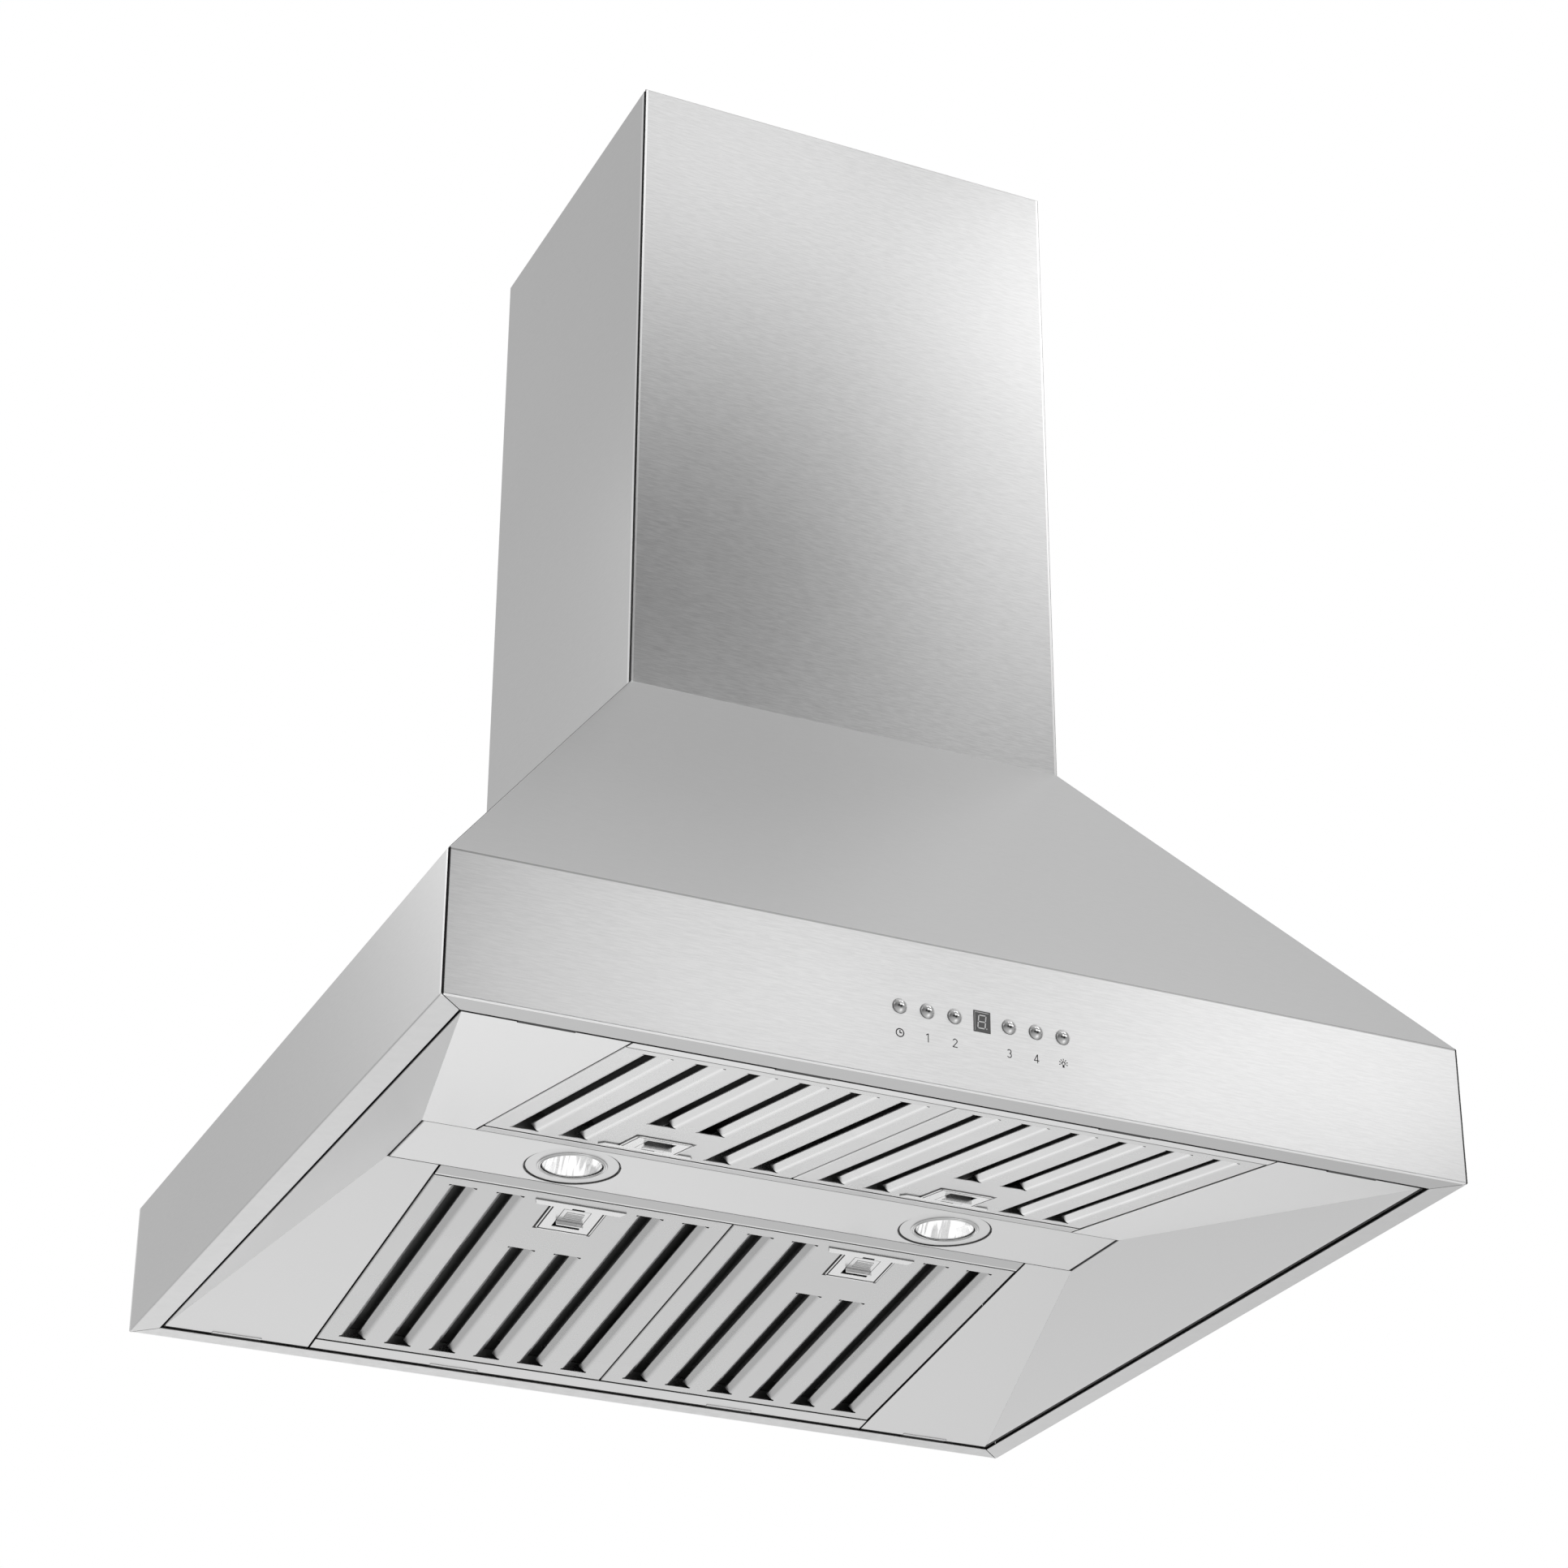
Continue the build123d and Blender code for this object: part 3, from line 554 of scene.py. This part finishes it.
def add_prism(shape, outline, front, depth):
    """Raise a flat outline, given as (x, z) points, off the front face."""
    rings = []
    for y in (front, front - depth):
        rings.append([shape.verts.new((x, y, z)) for x, z in outline])
    shape.faces.new(rings[0])
    shape.faces.new(reversed(rings[1]))
    count = len(outline)
    for index in range(count):
        follow = (index + 1) % count
        shape.faces.new((rings[0][index], rings[1][index], rings[1][follow], rings[0][follow]))


def add_bar(shape, start, end, width, front, depth):
    """Raise a straight line between two (x, z) points."""
    start = Vector(start)
    end = Vector(end)
    along = (end - start).normalized()
    across = Vector((-along.y, along.x)) * width / 2
    add_prism(shape, [start + across, start - across, end - across, end + across], front, depth)


def add_arc(shape, centre, radius, width, first, last, front, depth, steps=40):
    """Raise an arc of a round line, as neighbouring bars that share their ends."""
    inner = radius - width / 2
    outer = radius + width / 2
    for index in range(steps):
        turns = [first + (last - first) * (index + share) / steps for share in (0, 1)]
        corners = ((turns[0], inner), (turns[0], outer), (turns[1], outer), (turns[1], inner))
        outline = [(centre[0] + reach * cos(turn), centre[1] + reach * sin(turn)) for turn, reach in corners]
        add_prism(shape, outline, front, depth)


# Lines of light and shade along bends, seams and cut edges

panel_half_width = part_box("front_panel")[1].x
panel_half_depth = -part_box("front_panel")[0].y
cover_half_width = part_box("chimney_front")[1].x
wrap_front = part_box("chimney_wrap")[0].y


def corner_lines(x, y, z):
    """Painted shade in the corner seams and on the bend under the slope, and a painted highlight on the
    bottom bend.
    """
    slope_bend = abs(z - rim_top) < bend_half_width
    bottom_bend = (z < bend_height) * (panel_half_depth - abs(y) < flange_start)
    seam = abs(x) > panel_half_width - line_width
    return ((slope_bend, bend_shade_tone), (bottom_bend, painted_highlight_tone), (seam, seam_shade_tone))


def rim_lines(x, y, z):
    """The corner lines and a grey flange."""
    flange = (z < flange_skin) * (panel_half_depth - abs(y) > flange_start)
    return ((flange, flange_tone), *corner_lines(x, y, z))


def side_lines(x, y, z):
    """Painted highlights on the corners at the front and the back."""
    return ((panel_half_depth - abs(y) < corner_width, wear_and_highlight_tone),)


def cover_lines(x, y, z):
    """A painted highlight beside each side edge, and painted shade on the edge itself in the joint."""
    edge = cover_half_width - abs(x)
    return ((edge < cover_edge_width, painted_highlight_tone), (edge < cover_joint_width, joint_shade_tone))


def wrap_lines(x, y, z):
    """A painted highlight on the bend beside the joint with the front cover, and painted shade in that
    joint.
    """
    edge = y - wrap_front
    return ((edge < wrap_edge_width, painted_highlight_tone), (edge < wrap_joint_width, joint_shade_tone))


def liner_lines(x, y, z):
    """Painted shade on the cut edges along the canopy's flange, in the gap beside it."""
    front = y + liner_front_edge < line_width
    rear = y > liner_half_depth - line_width
    side = abs(x) > liner_half_width - line_width
    return ((front, cut_shade_tone), (rear, edge_shade_tone), (side, edge_shade_tone))


def rail_lines(x, y, z):
    """Painted shade on the cut edges, and on the rail beside the strip, with a painted highlight and a line
    of painted shade along the filters.
    """
    out = abs(y)
    upper = out < upper_rail_edge + line_width
    lower = (out < lower_rail_edge + line_width) * (out > lower_rail_edge - line_width)
    bright_edge = upper * (out > upper_rail_edge - rail_edge_width)
    dark_edge = upper * (out > upper_rail_edge - line_width)
    return ((upper, shade_tone), (bright_edge, wear_and_highlight_tone), (dark_edge, joint_shade_tone), (lower, joint_shade_tone),
            *liner_lines(x, y, z))


def strip_lines(x, y, z):
    """Painted shade along the long edges."""
    return ((abs(y) > strip_half_width - strip_edge_width, strip_edge_shade_tone),)


def filter_place(x, y, z):
    """Sideways from the middle of the nearest filter, and up its slope from the liner's foot."""
    aside = x - filter_offset * (2 * (x > 0) - 1)
    up = cos(liner_slope) * (liner_half_depth - abs(y)) + sin(liner_slope) * (z - liner_foot)
    return aside, up


def filter_lines(x, y, z):
    """Painted highlights on the flaps along the slots, painted shade in the cuts across their ends, and a
    painted shadow round the latch.
    """
    aside, up = filter_place(x, y, z)
    from_slot = abs((aside + 10 * slot_pitch) % slot_pitch - slot_pitch / 2)
    slot_end = short_slot_end + (long_slot_end - short_slot_end) * (abs(aside) > slot_pitch)
    along = (up > slot_start) * (up < slot_end)
    flap = along * (from_slot < flap_flat)
    end = (up < slot_start + cut_width) + (up > slot_end - cut_width)
    cut = along * end * (from_slot < flap_reach)
    latch = abs(aside) < latch_half_width + line_width
    shadow = latch * (up > latch_foot - line_width) * (up < latch_shoulder)
    return ((flap, flap_highlight_tone), (cut, cut_shade_tone), (shadow, edge_shade_tone))


def latch_lines(x, y, z):
    """A painted highlight on the rolled edge, with a line of painted shade inside it."""
    aside, up = filter_place(x, y, z)
    body = up < latch_shoulder
    side = latch_half_width - abs(aside)
    foot = up - latch_foot
    dark = body * (side < latch_side_width) + (foot < latch_foot_width)
    bright = body * (side < latch_edge_width) + (foot < line_width)
    return ((dark > 0.5, edge_shade_tone), (bright > 0.5, painted_highlight_tone))


def slider_lines(x, y, z):
    """A grey patch of ridges."""
    aside, up = filter_place(x, y, z)
    start, end = ridge_span
    patch = (abs(aside) < ridge_half_width) * (up > lip_place + start) * (up < lip_place + end)
    return ((patch, shade_tone),)


# Materials on the solids

slot_finishes = {
    "canopy_steel": brushed_steel("canopy_steel", steel_tone, calm_grain),
    "liner_steel": satin_steel("liner_steel", liner_tone, liner_roughness, lines=liner_lines),
    "filter_steel": satin_steel("filter_steel", filter_tone, filter_roughness, filter_smears, filter_lines),
    "latch_steel": satin_steel("latch_steel", latch_tone, latch_roughness, lines=latch_lines),
    "button_chrome": chrome("button_chrome"),
    "smoked_glass": smoked_window("smoked_window"),
    "galvanised": zinc("galvanised_sheet"),
    "motor_black": plain_finish("motor_paint", (0.05, 0.05, 0.055), 0.45),
    "aluminium": satin_steel("mill_aluminium", 0.74, 0.36),
    "board_green": plain_finish("board_mask", (0.05, 0.2, 0.1), 0.4),
    "black_plastic": plain_finish("black_plastic", (0.04, 0.04, 0.04), 0.5),
    "grey_plastic": plain_finish("grey_plastic", (0.46, 0.46, 0.46), 0.5),
}
rail_finish = satin_steel("rail_steel", liner_tone, liner_roughness, lines=rail_lines)
side_finish = brushed_steel("side_steel", steel_tone, calm_grain, lines=side_lines)
node_finishes = {
    "front_panel": brushed_steel("rim_steel", steel_tone, rim_grain, slope_grain_share, rim_lines),
    "rear_panel": brushed_steel("back_steel", steel_tone, rim_grain, slope_grain_share, corner_lines),
    "left_panel": side_finish,
    "right_panel": side_finish,
    "chimney_front": brushed_steel("cover_steel", steel_tone, cover_grain, lines=cover_lines),
    "chimney_wrap": brushed_steel("wrap_steel", wrap_tone, calm_grain, lines=wrap_lines),
    "liner_front": rail_finish,
    "liner_rear": rail_finish,
    "light_panel": satin_steel("strip_steel", strip_tone, liner_roughness, lines=strip_lines),
}
# Baffle steel darkened as painted shade
baffle_finish = satin_steel("baffle_steel", baffle_shade_tone, baffle_roughness)
slider_finish = satin_steel("slider_steel", latch_tone, latch_roughness, lines=slider_lines)


def middle_of(node):
    low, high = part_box(node)
    return (low + high) / 2


def dress_solids():
    """Give every solid its finish, by its own name or by its slot in the record."""
    slots = {part["node"]: part["material_slot"] for part in frame["record"]["subparts"]}
    for node, solid in frame["nodes"].items():
        finish = node_finishes.get(node, slot_finishes.get(slots[node]))
        if node.startswith("filter_back"):
            finish = baffle_finish
        if node.startswith("latch_slider"):
            finish = slider_finish
        if finish is None:
            continue
        solid.data.materials.clear()
        solid.data.materials.append(finish)


dress_solids()


# Lamps: a pressed glass front and a faceted reflector behind it

reflector_finish = mirror_facets("reflector")
lens_finish = lamp_lens("lamp_lens")


def faceted_bowl():
    """Node tree of a reflector: a grid bent round into a bowl, with one column for each facet."""
    tree = bpy.data.node_groups.new("faceted_bowl", "GeometryNodeTree")
    tree.interface.new_socket("Geometry", in_out="OUTPUT", socket_type="NodeSocketGeometry")
    inputs = {"Facets": "Int", "Rows": "Int", "Rim radius": "Float", "Throat radius": "Float",
              "Depth": "Float", "Centre": "Vector", "Finish": "Material"}
    sockets = {}
    for name, kind in inputs.items():
        socket = tree.interface.new_socket(name, in_out="INPUT", socket_type="NodeSocket" + kind)
        sockets[name] = socket.identifier
    nodes = Nodes(tree)
    given = tree.nodes.new("NodeGroupInput")
    size = {name: Value(nodes, given.outputs[name]) for name in sockets}
    counts = {"Size X": 1.0, "Size Y": 1.0, "Vertices X": size["Facets"] + 1, "Vertices Y": size["Rows"] + 1}
    grid = nodes.add("GeometryNodeMeshGrid", {}, counts)
    place = nodes.add("GeometryNodeInputPosition")
    turn = 2 * pi * nodes.add("ShaderNodeSeparateXYZ", {}, {0: place}, out="X")
    climb = 0.5 + nodes.add("ShaderNodeSeparateXYZ", {}, {0: place}, out="Y")
    radius = size["Rim radius"] - (size["Rim radius"] - size["Throat radius"]) * climb
    across = radius * nodes.add("ShaderNodeMath", {"operation": "COSINE"}, {0: turn})
    along = radius * nodes.add("ShaderNodeMath", {"operation": "SINE"}, {0: turn})
    rise = size["Depth"] * climb ** reflector_curve
    bent = nodes.add("ShaderNodeCombineXYZ", {}, {"X": across, "Y": along, "Z": rise})
    moved = nodes.add("ShaderNodeVectorMath", {"operation": "ADD"}, {0: bent, 1: size["Centre"]})
    bowl = nodes.add("GeometryNodeSetPosition", {}, {"Geometry": grid, "Position": moved})
    closed = nodes.add("GeometryNodeMergeByDistance", {}, {"Geometry": bowl, "Distance": merge_distance})
    real = nodes.add("GeometryNodeRealizeInstances", {}, {"Geometry": closed})
    dressed = nodes.add("GeometryNodeSetMaterial", {}, {"Geometry": real, "Material": size["Finish"]})
    nodes.add("NodeGroupOutput", {}, {"Geometry": dressed})
    return tree, sockets


bowl_tree, bowl_sockets = faceted_bowl()


def turned(name, profile, steps, closed=False):
    """Mesh of a profile of (radius, height) points turned about the Z axis, smooth along its curves."""
    shape = bmesh.new()
    rings = []
    for index in range(steps):
        turn = 2 * pi * index / steps
        points = [(radius * cos(turn), radius * sin(turn), height) for radius, height in profile]
        rings.append([shape.verts.new(point) for point in points])
    for index in range(steps):
        here = rings[index]
        there = rings[(index + 1) % steps]
        for step in range(len(profile) - (0 if closed else 1)):
            follow = (step + 1) % len(profile)
            face = shape.faces.new((here[step], there[step], there[follow], here[follow]))
            face.smooth = True
    mesh = mesh_of(name, shape)
    mesh.set_sharp_from_angle(angle=sharp_turn)
    return mesh


def bead(middle, half_width, foot, drop, steps=8):
    """Profile of a rolled bead that hangs from a foot height."""
    turns = [pi * index / steps for index in range(steps + 1)]
    return [(middle - half_width * cos(turn), foot - drop * sin(turn)) for turn in turns]


def build_lamp(side):
    """Glass front in place of the lamp's solid, and its reflector."""
    low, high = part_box("bulb_" + side)
    centre = (low + high) / 2
    lens_radius = (high.x - low.x) / 2
    lens_top = low.z + lens_sheet
    bowl_radius = lens_radius - lens_bevel
    profile = [(0, low.z), (bowl_radius, low.z), (lens_radius, low.z + lens_bevel), (lens_radius, lens_top),
               (0, lens_top)]
    lens = turned("lens_" + side, profile, lens_steps)
    lens.transform(Matrix.Translation((centre.x, centre.y, 0)))
    lens_piece = piece("lens_" + side, lens, lens_finish, "root")
    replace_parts(lens_piece, "bulb_" + side)
    drawn = bpy.data.objects.new("bowl_drawing", bpy.data.meshes.new("bowl_drawing"))
    modifier = drawn.modifiers.new("bowl", "NODES")
    modifier.node_group = bowl_tree
    sizes = {"Facets": reflector_facets, "Rows": reflector_rows, "Rim radius": bowl_radius,
             "Throat radius": reflector_throat, "Depth": reflector_depth,
             "Centre": (centre.x, centre.y, lens_top + reflector_gap), "Finish": reflector_finish}
    for name, value in sizes.items():
        modifier[bowl_sockets[name]] = value
    piece("reflector_" + side, evaluated_mesh(drawn), reflector_finish, "root")


def build_lamp_ring(side):
    """Twist ring with a rolled double rim round the lens."""
    node = "lamp_ring_" + side
    low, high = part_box(node)
    centre = (low + high) / 2
    outer = (high.x - low.x) / 2
    face = low.z + ring_rim_drop
    top = face + ring_sheet
    bulb_low, bulb_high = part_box("bulb_" + side)
    inner = (bulb_high.x - bulb_low.x) / 2 + ring_clearance
    groove = inner + groove_share * (ring_rim_radius - inner)
    inner_bead = bead((inner + groove) / 2, (groove - inner) / 2, face, ring_rim_drop)
    outer_bead = bead((groove + ring_rim_radius) / 2, (ring_rim_radius - groove) / 2, face,
                      outer_bead_share * ring_rim_drop)
    neck_inner = ring_neck_radius - ring_sheet
    body = [(outer - ring_edge, face), (outer, face + ring_edge), (outer, top), (ring_neck_radius, top),
            (ring_neck_radius, high.z), (neck_inner, high.z), (neck_inner, top), (inner, top)]
    mesh = turned("trim_" + side, inner_bead + outer_bead[1:] + body, ring_steps, closed=True)
    mesh.transform(Matrix.Translation((centre.x, centre.y, 0)))
    finish = lamp_ring_steel("trim_steel_" + side, centre, ring_rim_radius, outer)
    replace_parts(piece("trim_" + side, mesh, finish, node), node)


for side in ("left", "right"):
    build_lamp(side)
    build_lamp_ring(side)


# Push buttons: smooth chrome domes

def build_button(node):
    """Domed cap with its hidden head and stem behind the panel."""
    low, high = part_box(node)
    centre = (low + high) / 2
    proud = front_face - low.y
    ball_radius = (button_radius ** 2 + dome_height ** 2) / (2 * dome_height)
    dome_turn = asin(button_radius / ball_radius)
    head_radius = (high.x - low.x) / 2
    head_back = -panel_sheet - head_sheet
    profile = [(0, front_face - high.y), (stem_radius, front_face - high.y), (stem_radius, head_back),
               (head_radius, head_back), (head_radius, -panel_sheet), (button_radius, -panel_sheet)]
    for step in range(dome_steps + 1):
        turn = dome_turn * (1 - step / dome_steps)
        profile.append((ball_radius * sin(turn), proud - ball_radius * (1 - cos(turn))))
    mesh = turned(node + "_cap", profile, button_steps)
    outwards = Matrix.Rotation(pi / 2, 4, "X")
    mesh.transform(Matrix.Translation((centre.x, front_face, centre.z)) @ outwards)
    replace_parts(piece(node + "_cap", mesh, slot_finishes["button_chrome"], node), node)


front_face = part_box("display_window")[0].y
for node in list(frame["nodes"]):
    if node.startswith("button_"):
        build_button(node)


# Printed signs and the display's figure

ink = plain_finish("sign_ink", (0.02, 0.02, 0.022), 0.6)
figure_finish = plain_finish("display_figure", (0.85, 0.85, 0.85), 0.4)

# Strokes in heights of a figure: the ends of each bar, and each arc's centre, radius, first and last turn
digit_bars = {
    "1": (((0.08, -0.5), (0.08, 0.5)), ((0.06, 0.47), (-0.16, 0.3))),
    "2": (((0.185, 0.075), (-0.27, -0.45)), ((-0.29, -0.45), (0.27, -0.45))),
    "3": (),
    "4": (((0.12, -0.5), (0.12, 0.5)), ((0.1, 0.46), (-0.28, -0.22)), ((-0.31, -0.22), (0.3, -0.22))),
}
digit_arcs = {
    "2": (((0.0, 0.22), 0.235, 0.92 * pi, -0.21 * pi),),
    "3": (((-0.03, 0.235), 0.215, 0.86 * pi, -0.5 * pi),
          ((-0.03, -0.215), 0.24, 0.5 * pi, -0.86 * pi)),
}


def print_digit(text, x):
    """One plain figure under a button."""
    shape = bmesh.new()
    middle = Vector((x, sign_height))
    for ends in digit_bars[text]:
        first, last = [middle + digit_height * Vector(end) for end in ends]
        add_bar(shape, first, last, digit_line, front_face, sign_depth)
    for centre, radius, first, last in digit_arcs.get(text, ()):
        centre = middle + digit_height * Vector(centre)
        add_arc(shape, centre, digit_height * radius, digit_line, first, last, front_face, sign_depth, 24)
    piece("sign_" + text, mesh_of("sign_" + text, shape), ink, "root")


def print_clock(x):
    """A round dial with two hands."""
    shape = bmesh.new()
    add_arc(shape, (x, sign_height), clock_radius, sign_line, 0, 2 * pi, front_face, sign_depth)
    hands = (((x, sign_height - sign_line / 2), (x, sign_height + long_hand)),
             ((x, sign_height), (x + short_hand, sign_height)))
    for start, end in hands:
        add_bar(shape, start, end, sign_line, front_face, sign_depth)
    piece("sign_clock", mesh_of("sign_clock", shape), ink, "root")


def print_bulb(x):
    """A glowing bulb: a round glass on its foot, with seven rays."""
    shape = bmesh.new()
    middle = Vector((x, sign_height + bulb_rise))
    add_arc(shape, middle, bulb_radius, bulb_line, -0.25 * pi, 1.25 * pi, front_face, sign_depth, 24)
    head, foot = [middle - Vector((0, drop)) for drop in bulb_foot_span]
    add_bar(shape, head, foot, bulb_foot_line, front_face, sign_depth)
    for index in range(ray_count):
        turn = ray_turn * (index - 0.5)
        start, end = [middle + reach * Vector((cos(turn), sin(turn))) for reach in ray_span]
        add_bar(shape, start, end, ray_line, front_face, sign_depth)
    piece("sign_bulb", mesh_of("sign_bulb", shape), ink, "root")


def show_figure():
    """The seven unlit bars and the point of the display, with a thin pale line along the window's top and
    left edges as a painted highlight on its frame.
    """
    low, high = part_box("display_window")
    centre = (low + high) / 2
    shape = bmesh.new()

    def place(x, z):
        return centre.x + x + figure_lean * z, centre.z + z

    for z in (-figure_half_height, 0, figure_half_height):
        ends = place(-figure_half_width + figure_gap, z), place(figure_half_width - figure_gap, z)
        add_bar(shape, *ends, figure_line, front_face, sign_depth)
    for x in (-figure_half_width, figure_half_width):
        for foot, head in ((-figure_half_height, 0), (0, figure_half_height)):
            ends = place(x, foot + figure_gap), place(x, head - figure_gap)
            add_bar(shape, *ends, figure_line, front_face, sign_depth)
    point = place(figure_half_width + point_offset, -figure_half_height)
    add_arc(shape, point, point_radius, point_line, 0, 2 * pi, front_face, sign_depth, 12)
    # Painted highlight along the top and left of the window's frame
    top = high.z - border_inset
    left = low.x + border_inset
    add_bar(shape, (left, top), (high.x - border_inset, top), border_top_line, front_face, sign_depth)
    add_bar(shape, (left, low.z + border_inset), (left, top), border_side_line, front_face, sign_depth)
    piece("display_figure", mesh_of("display_figure", shape), figure_finish, "root")


for text in "1234":
    print_digit(text, middle_of("button_speed_" + text).x)
print_clock(middle_of("button_timer").x)
print_bulb(middle_of("button_light").x)
show_figure()


# Floor, light and camera

def build_floor():
    """A plain pale floor far below; the sheet metal mirrors the room instead of it."""
    shape = bmesh.new()
    bmesh.ops.create_grid(shape, x_segments=1, y_segments=1, size=floor_size / 2)
    bmesh.ops.translate(shape, verts=shape.verts, vec=(0, 0, floor_height))
    mesh = bpy.data.meshes.new("floor")
    shape.to_mesh(mesh)
    shape.free()
    shader = new_shader("pale_floor")
    pale = shader.surface(Base_Color=grey(floor_tone), Roughness=0.6, Emission_Color=grey(1.0),
                          Emission_Strength=floor_glow)
    mesh.materials.append(pale)
    floor = bpy.data.objects.new("floor", mesh)
    bpy.context.scene.collection.objects.link(floor)
    floor.visible_glossy = False
    floor.visible_shadow = False


def light_room():
    """Even studio light by direction. The camera itself sees a white backdrop."""
    world = bpy.data.worlds.new("studio")
    bpy.context.scene.world = world
    shader = Shader(world)
    way = shader.add("ShaderNodeTexCoord", out="Generated")
    brightness = room_brightness
    for direction, strength, tightness in soft_panels:
        inputs = {0: way, 1: Vector(direction).normalized()}
        facing = shader.add("ShaderNodeVectorMath", {"operation": "DOT_PRODUCT"}, inputs, out="Value")
        brightness = strength * facing.at_least(0.0) ** tightness + brightness
    strength = brightness.at_least(least_brightness)
    studio = shader.add("ShaderNodeBackground", {}, {"Color": grey(1.0), "Strength": strength})
    backdrop = shader.add("ShaderNodeBackground", {}, {"Color": grey(1.0), "Strength": 1.0})
    seen = shader.add("ShaderNodeLightPath", out="Is Camera Ray")
    both = shader.add("ShaderNodeMixShader", {}, {0: seen, 1: studio, 2: backdrop})
    shader.add("ShaderNodeOutputWorld", {}, {"Surface": both})


def soft_box(name, place, target, size, power):
    """A rectangular studio light that the camera doesn't see."""
    light = bpy.data.lights.new(name, "AREA")
    light.shape = "RECTANGLE"
    light.size = size[0]
    light.size_y = size[1]
    light.energy = power
    lamp = bpy.data.objects.new(name, light)
    bpy.context.scene.collection.objects.link(lamp)
    lamp.location = place
    lamp.rotation_mode = "QUATERNION"
    lamp.rotation_quaternion = (Vector(place) - Vector(target)).to_track_quat("Z", "Y")
    lamp.visible_camera = False


def place_camera():
    """Camera at the photograph's viewing angle."""
    level = cos(camera_elevation)
    back = Vector((sin(camera_azimuth) * level, -cos(camera_azimuth) * level, sin(camera_elevation)))
    camera = bpy.data.cameras.new("camera")
    camera.lens = camera_lens
    camera.sensor_width = camera_sensor
    camera.shift_x, camera.shift_y = camera_shift
    holder = bpy.data.objects.new("camera", camera)
    bpy.context.scene.collection.objects.link(holder)
    turn = back.to_track_quat("Z", "Y").to_matrix().to_4x4() @ Matrix.Rotation(camera_roll, 4, "Z")
    holder.matrix_world = Matrix.Translation(camera_aim + camera_distance * back) @ turn
    bpy.context.scene.camera = holder


build_floor()
light_room()
for name, (place, target, size, power) in soft_boxes.items():
    soft_box(name, place, target, size, power)
place_camera()
bpy.context.scene.view_settings.view_transform = "Standard"
